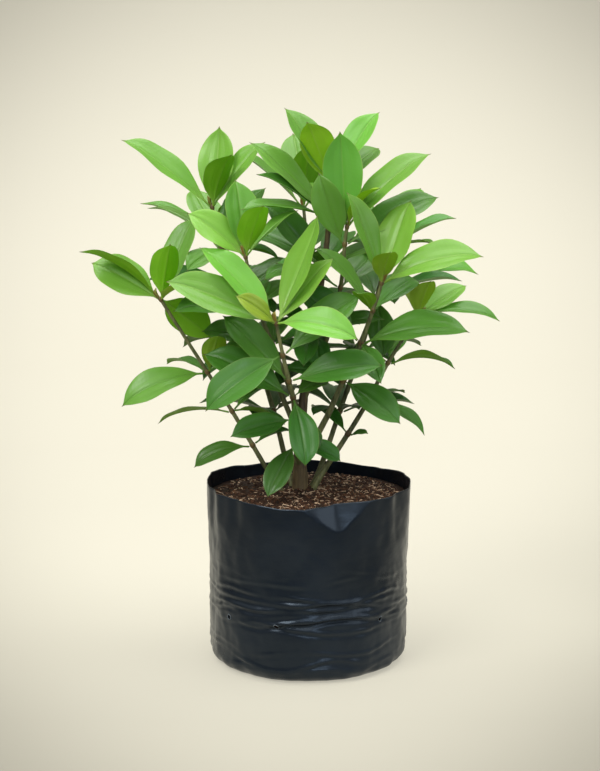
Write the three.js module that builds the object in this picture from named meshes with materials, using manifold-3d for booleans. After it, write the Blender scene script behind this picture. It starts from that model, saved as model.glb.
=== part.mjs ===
// A young medinilla shrub in a black polythene nursery bag, ready to plant out.
// Millimetres, +Z up. The origin is the middle of the bag's flat base, and -Y is the plant's front.
import * as THREE from "three";
import { mergeVertices } from "three/addons/utils/BufferGeometryUtils.js";
import Module from "manifold-3d";

const wasm = await Module();
wasm.setup();

// ---------------------------------------------------------------- driving dimensions
const BAG_RADIUS = 105; // a tube of film 330 wide when flat, filled round
const BAG_HEIGHT = 185;
const FILM = 1.0; // the film's wall
const FOOT_RADIUS = 86; // the flat of the base, inside its rounded edge
const WALL_LEAN = 3.5; // how much narrower the filled bag is at its foot than at its mouth
const SOIL_LEVEL = 171; // at the wall; the mix rises towards the stems
const SOIL_MOUND = 5;
const GAP = 0.3; // clearance between pieces that touch
const STEM_SIDES = 6;
const STEM_TIP_RADIUS = 1.7;
const HUB_WALL = 1.8; // the swollen joint where a whorl's leaf stalks meet the stem
const STALK_SINK = 0.9; // how deep in that joint a stalk's end sits, from the stem's surface out
const LEAF_THICKNESS = 1.2; // at the midrib; the blade thins to nothing at its margin
const BUD = { length: 11, radius: 2.4 };

// ---------------------------------------------------------------- the plant's habit
// The trunk, from its root up to the top whorl: [x, y, z] and the wood's radius there.
const TRUNK_FOOT = [
  [[-6, 10, 84], 5.5],
  [[-8, 9, 150], 8.5],
  [[-8, 8, 182], 8.4],
  [[-8, 7, 214], 6.6],
  [[-5, 9, 268], 4.6],
];

// Roots: where each leaves the trunk, how far it reaches out, and the depth it ends at.
const ROOTS = [
  { heading: 15, start: 132, reach: 66, end: 70 },
  { heading: 88, start: 122, reach: 58, end: 46 },
  { heading: 160, start: 134, reach: 70, end: 62 },
  { heading: 232, start: 124, reach: 62, end: 40 },
  { heading: 305, start: 130, reach: 68, end: 78 },
];
const ROOT_RADII = [3.6, 1.4];

// Shoots, each with the points that it rises through before its first whorl, the radius of its
// foot, and its whorls from the lowest up. A whorl is its place on the stem and its leaves.
// A leaf is [heading, rise, length, bend, roll, width]: the chord from stem to tip points along
// heading (degrees round Z from +X) and rise (degrees above level), length is that chord in mm,
// bend is how far the blade arches over it and roll how far it is turned about it, in degrees,
// and width is a percentage of the length.
const SHOOTS = [
  { name: "top", foot: [], radius: 0, whorls: [
    [[5, 11, 340], [[130, 14, 78, 30, 0, 40], [-100, -24, 58, 30, 0, 42], [14, 10, 74, 30, -20, 42],
      [-80, -40, 50, 20, 0, 50]]],
    [[16, 8, 408], [[160, 22, 88, 30, 20, 38], [-14, 24, 70, 30, -30, 38], [70, 20, 84, 30, 0, 38],
      [-150, -6, 66, 30, 10, 46], [-104, 26, 50, 24, 0, 46], [172, 50, 88, 14, 40, 40]]],
    [[22, 4, 460], [[175, 45, 108, 12, 22, 36], [-172, 33, 84, 20, 20, 34], [-160, 8, 92, 26, 10, 34],
      [100, 20, 84, 26, 0, 38]]],
    [[25, 2, 490], [[153, 56, 94, 8, 16, 42], [-150, 66, 72, 10, -50, 50],
      [34, 53, 92, 18, -14, 36], [43, 29, 74, 14, -16, 46]]],
  ] },
  { name: "front", foot: [[-8, 7, 200], [-10, -3, 214]], radius: 4.0, whorls: [
    [[-12, -13, 230], [[-124, -42, 66, 14, 20, 40], [-14, -20, 46, 30, -30, 50]]],
    [[-13, -26, 258], [[-152, -8, 70, 26, 44, 40], [-44, -36, 40, 30, -30, 50]]],
    [[-15, -42, 283], [[-72, -56, 72, 30, 4, 44], [172, 26, 98, 26, 40, 40], [50, 8, 52, 30, -20, 40]]],
    [[-19, -54, 302], [[-14, 13, 94, 26, -46, 40], [163, 44, 92, 10, 30, 42]]],
    [[-25, -64, 330], [[-160, -32, 93, 34, 46, 42], [18, 36, 97, 24, -40, 38]]],
    [[-31, -71, 361], [[38, 62, 116, -4, 4, 40], [163, 44, 108, 14, 26, 36], [-176, 23, 116, 18, 44, 38],
      [22, 47, 87, 14, -26, 38], [-22, -6, 86, 54, -38, 42], [-150, 36, 54, 30, 66, 40]]],
  ] },
  { name: "left", foot: [[-9, 9, 146], [-30, 9, 178], [-43, 8, 198]], radius: 3.0, whorls: [
    [[-57, 6, 223], [[-168, -17, 62, 56, 26, 40], [30, 12, 46, 30, 0, 42]]],
    [[-78, 5, 259], [[165, -10, 80, 40, -10, 34], [-30, -6, 62, 36, 20, 34], [40, 24, 66, 24, 0, 42]]],
    [[-103, 0, 301], [[-165, -18, 92, 52, 34, 40], [134, 2, 62, 44, 0, 34], [10, 30, 62, 20, -30, 50],
      [-70, 52, 56, 16, 0, 44]]],
    [[-148, -10, 376], [[-170, 34, 96, 34, -16, 30], [171, 28, 80, 18, 46, 52], [-68, 64, 68, 4, 0, 46],
      [42, 62, 92, 10, -14, 36], [-48, 22, 56, 30, -10, 56], [30, -38, 72, 30, 70, 50]]],
  ] },
  { name: "left_top", foot: [[-7, 8, 226], [-22, 14, 262], [-42, 20, 308]], radius: 3.0, whorls: [
    [[-72, 22, 375], [[-164, 14, 70, 30, 30, 42], [40, 24, 80, 30, -20, 38], [-40, -8, 44, 30, 0, 48],
      [-90, 20, 60, 24, 0, 46]]],
    [[-88, 21, 425], [[148, 24, 98, 36, -10, 32], [55, 62, 68, 4, 0, 44], [-128, -16, 54, 30, 20, 48],
      [0, -10, 58, 30, 0, 42]]],
    [[-97, 20, 466], [[-175, 39, 114, 14, 28, 36], [74, 72, 84, -4, 0, 46], [-54, 60, 66, 30, 0, 52],
      [16, 51, 86, 18, -22, 38]]],
  ] },
  { name: "centre_left", foot: [[-6, 8, 248], [-20, -2, 288]], radius: 2.8, whorls: [
    [[-36, -14, 332], [[166, 10, 73, 30, 30, 44], [-14, 16, 62, 30, -20, 42],
      [-176, -48, 52, 20, 0, 46], [80, 20, 56, 24, 0, 42]]],
    [[-50, -24, 372], [[178, -2, 84, 30, 34, 42], [60, 14, 68, 30, -10, 40], [90, 20, 58, 20, 0, 42]]],
    [[-62, -30, 422], [[-60, 58, 66, 20, 0, 50], [-176, 39, 72, 26, 46, 50], [113, 71, 80, 4, 0, 46],
      [12, 42, 70, 20, -10, 34]]],
  ] },
  { name: "centre_right", foot: [[-4, 9, 270], [9, 2, 304], [22, -5, 345]], radius: 2.8, whorls: [
    [[33, -10, 390], [[60, 20, 84, 20, -20, 40], [-160, 24, 72, 20, 20, 40]]],
    [[37, -13, 434], [[20, 25, 110, 20, -30, 36], [-164, 71, 76, 4, 112, 42]]],
    [[39, -14, 450], [[-24, 51, 54, 44, 0, 50], [14, 41, 113, 28, -24, 36], [170, 86, 96, -4, 84, 42],
      [56, 57, 46, 10, 0, 40]]],
  ] },
  { name: "right", foot: [[-6, 7, 206], [6, 3, 228], [20, -5, 256]], radius: 3.8, whorls: [
    [[36, -14, 295], [[-34, -28, 74, 36, -40, 44], [70, 24, 60, 30, -20, 42], [176, 10, 58, 30, 30, 44]]],
    [[53, -26, 336], [[-9, 9, 108, 44, -30, 42], [170, 40, 84, 20, 40, 46], [-70, -30, 60, 30, -20, 40]]],
    [[65, -34, 370], [[179, 49, 84, 34, 26, 32], [50, 20, 74, 30, -20, 44], [-110, 30, 50, 24, 0, 46]]],
    [[73, -40, 397], [[44, 64, 90, 4, -10, 50], [-74, 54, 44, 24, 0, 60], [-7, 17, 104, 48, -34, 42],
      [12, 5, 100, 42, -16, 36], [-165, 70, 98, 8, 50, 36]]],
  ] },
  { name: "far_right", foot: [[-6, 8, 150], [7, 8, 178], [19, 12, 198]], radius: 3.6, whorls: [
    [[42, 16, 233], [[-25, 12, 20, 30, -20, 60], [130, 20, 60, 30, 0, 36]]],
    [[62, 20, 266], [[-10, -28, 66, 50, -14, 36], [45, 4, 56, 34, 0, 34]]],
    [[83, 20, 307], [[-14, 0, 68, 54, 20, 44], [66, 20, 50, 40, 0, 34], [-150, 30, 44, 26, 10, 40]]],
    [[112, 20, 354], [[-66, 56, 50, 16, 0, 56], [25, 28, 64, 14, -26, 46], [-4, -1, 84, 42, -14, 32],
      [146, 62, 46, 8, 0, 46]]],
  ] },
  { name: "back_left", foot: [[-10, 11, 154], [-20, 32, 188]], radius: 3.2, whorls: [
    [[-36, 50, 250], [[176, 8, 76, 30, 0, 42], [-110, 8, 58, 30, 0, 42], [80, 10, 78, 30, 0, 40],
      [-40, 20, 40, 30, 0, 50]]],
    [[-58, 66, 320], [[150, -6, 86, 40, 0, 38], [-100, -10, 50, 30, 0, 42], [60, 10, 84, 36, 0, 38],
      [-40, -2, 62, 30, 0, 46], [-150, -30, 66, 30, 0, 46]]],
    [[-74, 76, 370], [[178, 10, 96, 44, 20, 36], [80, 12, 92, 36, 0, 38], [-50, -12, 62, 30, 0, 46],
      [-116, 2, 70, 30, 0, 46]]],
    [[-88, 84, 412], [[165, 30, 104, 34, 0, 34], [120, 40, 96, 20, 0, 38], [40, 50, 86, 14, 0, 40],
      [-70, 60, 70, 10, 0, 40], [-150, 36, 60, 30, 10, 40], [-14, 16, 66, 20, 20, 42]]],
  ] },
  { name: "back", foot: [[-7, 8, 212], [-4, 26, 248]], radius: 3.4, whorls: [
    [[0, 52, 300], [[-170, 4, 78, 30, 10, 42], [-8, 6, 62, 30, 0, 44], [84, 14, 84, 30, 0, 40],
      [-118, -12, 60, 30, 0, 46], [-52, -16, 60, 30, 0, 46]]],
    [[2, 76, 360], [[26, 6, 68, 36, 0, 38], [160, 8, 80, 36, 0, 38], [-96, 34, 64, 20, 0, 44],
      [-30, -16, 60, 30, 0, 46], [-150, 14, 62, 30, 0, 46]]],
    [[0, 92, 412], [[70, 16, 92, 30, 0, 38], [-110, 30, 66, 30, 0, 38], [172, 16, 76, 30, 0, 44],
      [-24, 12, 68, 30, 0, 44]]],
    [[-4, 104, 456], [[100, 50, 100, 14, 0, 38], [20, 46, 96, 16, 0, 40], [170, 40, 92, 20, 0, 40],
      [-80, 66, 76, 8, 0, 40]]],
  ] },
  { name: "back_right", foot: [[-6, 11, 158], [12, 30, 190]], radius: 3.2, whorls: [
    [[34, 50, 250], [[2, 8, 76, 30, 0, 42], [-70, 14, 54, 30, 0, 42], [94, 10, 78, 30, 0, 40],
      [-128, 4, 44, 30, 0, 48], [168, 26, 54, 30, 0, 46]]],
    [[56, 64, 312], [[36, 0, 80, 40, 0, 38], [-40, -12, 44, 36, 0, 42], [130, 10, 80, 36, 0, 38],
      [-100, 12, 58, 30, 0, 46], [-168, 0, 50, 30, 0, 48]]],
    [[72, 74, 366], [[0, 14, 90, 34, 0, 36], [100, 12, 90, 36, 0, 38], [-84, -50, 70, 10, 0, 44],
      [-134, 6, 74, 30, 0, 44], [-72, 4, 54, 30, 0, 46]]],
    [[84, 82, 414], [[10, 26, 80, 26, 0, 36], [60, 40, 96, 20, 0, 38], [140, 46, 88, 14, 0, 40],
      [-90, 62, 66, 10, 0, 42], [-120, 4, 50, 30, 0, 46], [-40, 12, 62, 30, 0, 42]]],
  ] },
];

// The blade's half width along the leaf, as a share of its widest: stalk, blade and drip tip.
const LEAF_OUTLINE = [
  [0, 0.05], [0.07, 0.07], [0.2, 0.46], [0.4, 0.88], [0.6, 1], [0.78, 0.82], [0.92, 0.34], [1, 0],
];
const LEAF_CUP = 0.28; // how far the margins lift, as a share of the half width
const TIP_HOOK = 0.03; // how far the drip tip curls, as a share of the length
const TIP_START = 0.82;

// ---------------------------------------------------------------- solids
// A closed three.js geometry as a manifold-3d solid.
function solid(geometry) {
  const bare = geometry.clone();
  bare.deleteAttribute("normal");
  bare.deleteAttribute("uv");
  const merged = mergeVertices(bare, 1e-4);
  return new wasm.Manifold(
    new wasm.Mesh({
      numProp: 3,
      vertProperties: merged.attributes.position.array,
      triVerts: new Uint32Array(merged.index.array),
    }),
  );
}

// The largest body of a solid, without the chips that a cut can leave.
function largest(cut) {
  return cut.decompose().reduce((best, body) => (body.volume() > best.volume() ? body : best));
}

function node(name, shape, material) {
  const made = shape.getMesh();
  const geometry = new THREE.BufferGeometry();
  geometry.setAttribute("position", new THREE.BufferAttribute(made.vertProperties, 3));
  geometry.setIndex(new THREE.BufferAttribute(made.triVerts, 1));
  geometry.computeVertexNormals();
  const mesh = new THREE.Mesh(geometry, material);
  mesh.name = name;
  return mesh;
}

// A round bar bent along a curve, with its radius given along the way from 0 to 1. A clearance
// makes it wider and longer all round.
function bentBar(curve, radiusAt, segments, clearance, sides = STEM_SIDES) {
  const bar = new THREE.CylinderGeometry(1, 1, 1, sides, segments);
  const frames = curve.computeFrenetFrames(segments);
  const place = bar.attributes.position;
  for (let i = 0; i < place.count; i++) {
    const along = place.getY(i) + 0.5;
    const ring = Math.round(along * segments);
    const radius = radiusAt(along) + clearance;
    const point = curve.getPoint(along);
    point.addScaledVector(frames.binormals[ring], place.getX(i) * radius);
    point.addScaledVector(frames.normals[ring], place.getZ(i) * radius);
    if (ring === 0) point.addScaledVector(frames.tangents[ring], -clearance);
    if (ring === segments) point.addScaledVector(frames.tangents[ring], clearance);
    place.setXYZ(i, point.x, point.y, point.z);
  }
  return solid(bar);
}

const radians = THREE.MathUtils.degToRad;

// Straight-line interpolation in a list of [position, value].
function along(list, t) {
  const next = Math.max(1, list.findIndex(([at]) => at >= t));
  const [[t0, v0], [t1, v1]] = [list[next - 1], list[next]];
  return THREE.MathUtils.lerp(v0, v1, (t - t0) / (t1 - t0));
}

// The direction of a leaf's chord, from its stalk to its tip.
function chordOf([heading, rise]) {
  const level = Math.cos(radians(rise));
  const turn = radians(heading);
  return new THREE.Vector3(level * Math.cos(turn), level * Math.sin(turn), Math.sin(radians(rise)));
}

// A geometry standing along +Y, turned to stand along a direction.
function turnedTo(geometry, direction) {
  const upright = new THREE.Vector3(0, 1, 0);
  return geometry.applyQuaternion(new THREE.Quaternion().setFromUnitVectors(upright, direction));
}

// One leaf: a sphere's poles become its stalk and its tip, and its four sides the two margins,
// the upper face and the lower face.
function leaf(stalkEnd, row) {
  const [heading, , length, bend, roll, width] = row;
  const turn = radians(heading);
  const chord = chordOf(row);
  const level = new THREE.Vector3(-Math.sin(turn), Math.cos(turn), 0);
  const side = level.applyAxisAngle(chord, -radians(roll));
  const face = chord.clone().cross(side);
  const steepness = Math.tan(radians(bend) / 2); // of the arch where it leaves the chord
  const hookDepth = TIP_HOOK * length * Math.sign(bend || 1);
  const halfWidth = (length * width) / 200;
  const stations = LEAF_OUTLINE.length - 1;
  const blade = new THREE.SphereGeometry(1, 4, stations);
  const place = blade.attributes.position;
  for (let i = 0; i < place.count; i++) {
    const latitude = Math.acos(THREE.MathUtils.clamp(place.getY(i), -1, 1));
    const station = Math.round((latitude / Math.PI) * stations);
    const ring = Math.sin((station / stations) * Math.PI);
    const pole = station === 0 || station === stations;
    const [u, share] = LEAF_OUTLINE[station];
    const across = pole ? 0 : place.getX(i) / ring;
    const up = pole ? 0 : place.getZ(i) / ring;
    const hook = Math.max(0, (u - TIP_START) / (1 - TIP_START)) ** 2 * hookDepth;
    const slope = chord.clone().addScaledVector(face, steepness * (1 - 2 * u)).normalize();
    const normal = slope.cross(side);
    const lift = Math.abs(across) * halfWidth * share * LEAF_CUP;
    const point = stalkEnd
      .clone()
      .addScaledVector(chord, u * length)
      .addScaledVector(face, u * (1 - u) * length * steepness - hook)
      .addScaledVector(side, across * halfWidth * share)
      .addScaledVector(normal, lift + (up * LEAF_THICKNESS) / 2);
    place.setXYZ(i, point.x, point.y, point.z);
  }
  return solid(blade);
}

// ---------------------------------------------------------------- materials
const filmBlack = new THREE.MeshStandardMaterial({ color: "#22282e", roughness: 0.38, metalness: 0 });
const pottingMix = new THREE.MeshStandardMaterial({ color: "#4a2a1a", roughness: 0.95, metalness: 0 });
const bark = new THREE.MeshStandardMaterial({ color: "#6b5a3c", roughness: 0.8, metalness: 0 });
const greenWood = new THREE.MeshStandardMaterial({ color: "#6f6a38", roughness: 0.7, metalness: 0 });
const oldLeaf = new THREE.MeshStandardMaterial({ color: "#2f6b24", roughness: 0.4, metalness: 0 });
const youngLeaf = new THREE.MeshStandardMaterial({ color: "#62a83a", roughness: 0.35, metalness: 0 });

const plant = new THREE.Group();

// ---------------------------------------------------------------- the bag
// A tube of film sealed at the base and opened round by the mix. Its wall leans out a little
// upwards, its mouth sags between stiffer stretches, and it has punched drain holes.
const DRAIN_HOLES = [-141, -108, -44, -2, 44, 108, 141]; // their headings
const DRAIN_HOLE_HEIGHT = 60;
const DRAIN_HOLE_RADIUS = 2.6;
const BAG_SIDES = 32;

// The wall's radius at a height, before the film's own thickness.
function bagRadius(z) {
  return THREE.MathUtils.lerp(BAG_RADIUS - WALL_LEAN, BAG_RADIUS, z / BAG_HEIGHT);
}

// How the filled film departs from a round tube: shallow bulges that grow towards the mouth.
function slump(heading, z) {
  const free = THREE.MathUtils.smoothstep(z, 30, BAG_HEIGHT);
  return 1.1 * Math.sin(3 * heading + 0.6) * (0.5 + free) + 0.8 * Math.sin(7 * heading) * free;
}

// The mouth's edge rises and dips round the bag.
function mouthDip(heading, z) {
  const near = THREE.MathUtils.smoothstep(z, 140, BAG_HEIGHT);
  return near * (1.4 * Math.sin(2 * heading + 1.9) + 1.1 * Math.sin(5 * heading + 0.4) - 1.2);
}

// A profile of [radius, height] turned round the bag's axis and slumped like the film.
function bagTurn(profile) {
  const turned = new THREE.LatheGeometry(profile.map(([r, z]) => new THREE.Vector2(r, z)), BAG_SIDES);
  turned.rotateX(Math.PI / 2);
  const place = turned.attributes.position;
  for (let i = 0; i < place.count; i++) {
    const heading = Math.atan2(place.getY(i), place.getX(i));
    const radius = Math.hypot(place.getX(i), place.getY(i));
    const z = place.getZ(i);
    const share = radius / BAG_RADIUS;
    const grown = radius + slump(heading, z) * THREE.MathUtils.smoothstep(share, 0.5, 0.9);
    place.setXYZ(i, Math.cos(heading) * grown, Math.sin(heading) * grown, z + mouthDip(heading, z) * share);
  }
  return solid(turned);
}

// The rounded edge between the base and the wall, at a distance inside the outer face.
function bagCorner(inset) {
  return [
    [FOOT_RADIUS, inset],
    [FOOT_RADIUS + 12 - inset * 0.7, 3.6 + inset * 0.7], // part way round the edge
    [bagRadius(15) - inset, 15],
  ];
}

const bagOutside = [[0, 0], ...bagCorner(0), [bagRadius(100), 100], [BAG_RADIUS, BAG_HEIGHT]];
const bagInside = [
  [BAG_RADIUS - FILM, BAG_HEIGHT],
  [bagRadius(100) - FILM, 100],
  ...bagCorner(FILM).reverse(),
  [0, FILM],
];
let bag = bagTurn([...bagOutside, ...bagInside]);
for (const heading of DRAIN_HOLES) {
  const punch = new THREE.CylinderGeometry(DRAIN_HOLE_RADIUS, DRAIN_HOLE_RADIUS, 16, 8);
  punch.rotateZ(Math.PI / 2);
  punch.translate(bagRadius(DRAIN_HOLE_HEIGHT), 0, DRAIN_HOLE_HEIGHT);
  punch.rotateZ(radians(heading));
  bag = bag.subtract(solid(punch));
}
plant.add(node("grow_bag", bag, filmBlack));

// ---------------------------------------------------------------- the wood
const trunkWhorls = SHOOTS[0].whorls;
const trunkPoints = [...TRUNK_FOOT.map(([point]) => point), ...trunkWhorls.map(([point]) => point)];
const trunkCurve = new THREE.CatmullRomCurve3(trunkPoints.map((point) => new THREE.Vector3(...point)));
const lastPoint = trunkPoints.length - 1;
const trunkRadii = [
  ...TRUNK_FOOT.map(([, radius], i) => [i / lastPoint, radius]),
  [1, STEM_TIP_RADIUS],
];
function trunkBar(clearance) {
  return bentBar(trunkCurve, (t) => along(trunkRadii, t), lastPoint + 3, clearance, 8);
}

// Roots leave the trunk below the surface, level at first, and turn down as they thin.
function root({ heading, start, reach, end }, clearance) {
  const [x, y] = TRUNK_FOOT[0][0];
  const [cos, sin] = [Math.cos(radians(heading)), Math.sin(radians(heading))];
  const out = (distance, z) => new THREE.Vector3(x + cos * distance, y + sin * distance, z);
  const corner = out(reach * 0.7, start - 6);
  const curve = new THREE.QuadraticBezierCurve3(out(0, start), corner, out(reach, end));
  return bentBar(curve, (t) => THREE.MathUtils.lerp(...ROOT_RADII, t), 4, clearance);
}
function rootedTrunk(clearance) {
  return ROOTS.reduce((wood, one) => wood.add(root(one, clearance)), trunkBar(clearance));
}
const trunkSpace = rootedTrunk(GAP); // the trunk with a clearance round it
plant.add(node("trunk_and_roots", rootedTrunk(0), bark));

// A branch: its bar follows the foot and whorl points, and its butt is cut to meet the trunk.
function branchCurve({ foot, whorls }) {
  const points = [...foot, ...whorls.map(([point]) => point)];
  return new THREE.CatmullRomCurve3(points.map((point) => new THREE.Vector3(...point)));
}
function branchBar(shoot, clearance) {
  const gaps = shoot.foot.length + shoot.whorls.length - 1;
  const radiusAt = (t) => THREE.MathUtils.lerp(shoot.radius, STEM_TIP_RADIUS, t);
  return bentBar(branchCurve(shoot), radiusAt, Math.round(gaps * 1.5), clearance);
}
const stemSpaces = new Map([["top", trunkSpace]]);
for (const shoot of SHOOTS.slice(1)) {
  stemSpaces.set(shoot.name, branchBar(shoot, GAP));
  plant.add(node(`stem_${shoot.name}`, largest(branchBar(shoot, 0).subtract(trunkSpace)), greenWood));
}

// ---------------------------------------------------------------- the potting mix
const soilInset = FILM + 2 * GAP;
const soilProfile = [
  [0, soilInset],
  ...bagCorner(soilInset),
  [bagRadius(100) - soilInset, 100],
  [bagRadius(SOIL_LEVEL) - soilInset, SOIL_LEVEL],
  [BAG_RADIUS * 0.62, SOIL_LEVEL + SOIL_MOUND * 0.5],
  [BAG_RADIUS * 0.3, SOIL_LEVEL + SOIL_MOUND],
  [0, SOIL_LEVEL + SOIL_MOUND],
];
let soil = bagTurn(soilProfile);
for (const space of stemSpaces.values()) soil = soil.subtract(space);
plant.add(node("potting_mix", largest(soil), pottingMix));

// ---------------------------------------------------------------- the leaves
// A whorl: its leaves, joined by the swollen ring where their stalks meet, clear of the stem
// inside it. The last whorl of a shoot also closes over the stem's end with its bud.
function whorl(shoot, index) {
  const [at, leaves] = shoot.whorls[index];
  const curve = shoot.name === "top" ? trunkCurve : branchCurve(shoot);
  const points = shoot.name === "top" ? lastPoint : shoot.foot.length + shoot.whorls.length - 1;
  const t = (points - shoot.whorls.length + 1 + index) / points;
  const branchWood = THREE.MathUtils.lerp(shoot.radius, STEM_TIP_RADIUS, t);
  const wood = shoot.name === "top" ? along(trunkRadii, t) : branchWood;
  const last = index === shoot.whorls.length - 1;
  const direction = curve.getTangent(t);
  const centre = new THREE.Vector3(...at).addScaledVector(direction, last ? HUB_WALL : 0);
  const ring = new THREE.SphereGeometry(wood + HUB_WALL, 6, 4);
  let joined = solid(turnedTo(ring, direction).translate(...centre));
  for (const row of leaves) {
    const chord = chordOf(row);
    const outwards = chord.addScaledVector(direction, -chord.dot(direction)).normalize();
    const stalkEnd = centre.clone().addScaledVector(outwards, last ? STALK_SINK : wood + STALK_SINK);
    joined = joined.add(leaf(stalkEnd, row));
  }
  if (last) {
    const bud = new THREE.ConeGeometry(BUD.radius, BUD.length, 5).translate(0, BUD.length / 2, 0);
    joined = joined.add(solid(turnedTo(bud, direction).translate(...centre)));
  }
  return largest(joined.subtract(stemSpaces.get(shoot.name)));
}
for (const shoot of SHOOTS) {
  shoot.whorls.forEach((_, index) => {
    const young = index === shoot.whorls.length - 1;
    plant.add(node(`leaves_${shoot.name}_${index + 1}`, whorl(shoot, index), young ? youngLeaf : oldLeaf));
  });
}

export default plant;
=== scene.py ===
# A young medinilla shrub in a black polythene nursery bag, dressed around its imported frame.
import math

import bmesh
import bpy
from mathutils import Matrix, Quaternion, Vector, noise


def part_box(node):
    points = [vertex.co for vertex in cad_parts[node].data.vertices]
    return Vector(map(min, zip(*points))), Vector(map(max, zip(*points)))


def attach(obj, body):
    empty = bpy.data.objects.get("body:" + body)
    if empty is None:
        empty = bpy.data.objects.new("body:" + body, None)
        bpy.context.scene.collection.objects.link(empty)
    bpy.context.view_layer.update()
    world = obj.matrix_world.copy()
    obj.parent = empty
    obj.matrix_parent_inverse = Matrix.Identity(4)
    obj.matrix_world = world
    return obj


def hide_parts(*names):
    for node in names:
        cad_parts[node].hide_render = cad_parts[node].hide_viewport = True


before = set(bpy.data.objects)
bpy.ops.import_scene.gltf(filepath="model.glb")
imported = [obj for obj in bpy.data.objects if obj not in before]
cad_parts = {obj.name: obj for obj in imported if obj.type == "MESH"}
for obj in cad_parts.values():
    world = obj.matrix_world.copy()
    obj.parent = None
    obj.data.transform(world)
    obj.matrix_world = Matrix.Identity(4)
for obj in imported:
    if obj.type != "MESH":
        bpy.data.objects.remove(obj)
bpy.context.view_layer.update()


# ---------------------------------------------------------------- the camera
# A portrait lens on a low stand, two metres in front of the plant and looking slightly down, so
# that the bag's mouth shows as a flat oval.
camera = bpy.data.objects.new("camera", bpy.data.cameras.new("camera"))
camera.data.sensor_width = 36
camera.data.lens = 97.45
camera.data.clip_end = 30
camera.location = (-0.008, -2.1, 0.697)
camera.rotation_euler = (math.radians(90 - 11.05), 0, 0)
bpy.context.collection.objects.link(camera)
bpy.context.scene.camera = camera


# ---------------------------------------------------------------- the stage
# A cream paper sweep under the bag and up behind it. Shade is painted on it: it is painted darker
# towards its edges, deeper on the floor, and dark in front of the plant, a painted shade for the dim
# room, so that the film has something dark to reflect. The paper glows with its own colour as well,
# a painted light that lifts the shadows on it. One broad soft box hangs over the plant, and others
# stand in front and to the sides.
SWEEP_FRONT = -7.0
SWEEP_BACK = 3.2
SWEEP_HEIGHT = 6.0
SWEEP_HALF_WIDTH = 8.0
SWEEP_BEND = 1.5  # the radius that the floor turns up in
SWEEP_BEND_STEPS = 12
# The paper's painted shade is drawn round a line that falls from this point through the plant. The
# point is where the camera stands, but it is fixed in the room, and so is what is drawn from it.
SHADE_FROM = Vector((-0.008, -2.1, 0.697))
SHADE_FALL = 0.195  # the fall of the line, as a slope
SHADE_SPREAD = 10.0
# The painted pool of light: the paper's colour in its middle and, as painted shade, at its edges.
PAPER_LIT_MIDDLE = (0.05, (0.356, 0.339, 0.283, 1))  # place on the ramp, and colour
PAPER_SHADED_EDGE = (0.75, (0.165, 0.156, 0.128, 1))
# The paper's painted shade from the low floor, 0, to the top of the upright paper, 1: the floor, which takes
# more light, is painted deeper.
PAPER_SHADE_TONES = [
    (0.1, 0.82), (0.17, 0.805), (0.3, 0.855), (0.45, 0.84),
    (0.52, 0.86), (0.64, 0.945), (0.76, 0.975), (1.0, 0.98),
]
TONE_SPREAD, TONE_START = 2.5, 0.6  # from the slope up or down to a place among the tones
# How strongly the paper glows with its own colour: a painted light that lifts its shadows.
PAPER_GLOW = 1.6
# The dark painted on the floor in front of the plant: painted shade for the dim room.
DIM_FLOOR = (0.031, 0.039, 0.05, 1)
DIM_FROM, DIM_TO = -0.5, -0.95  # where the floor starts to dim, and where it is dimmest


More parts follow.
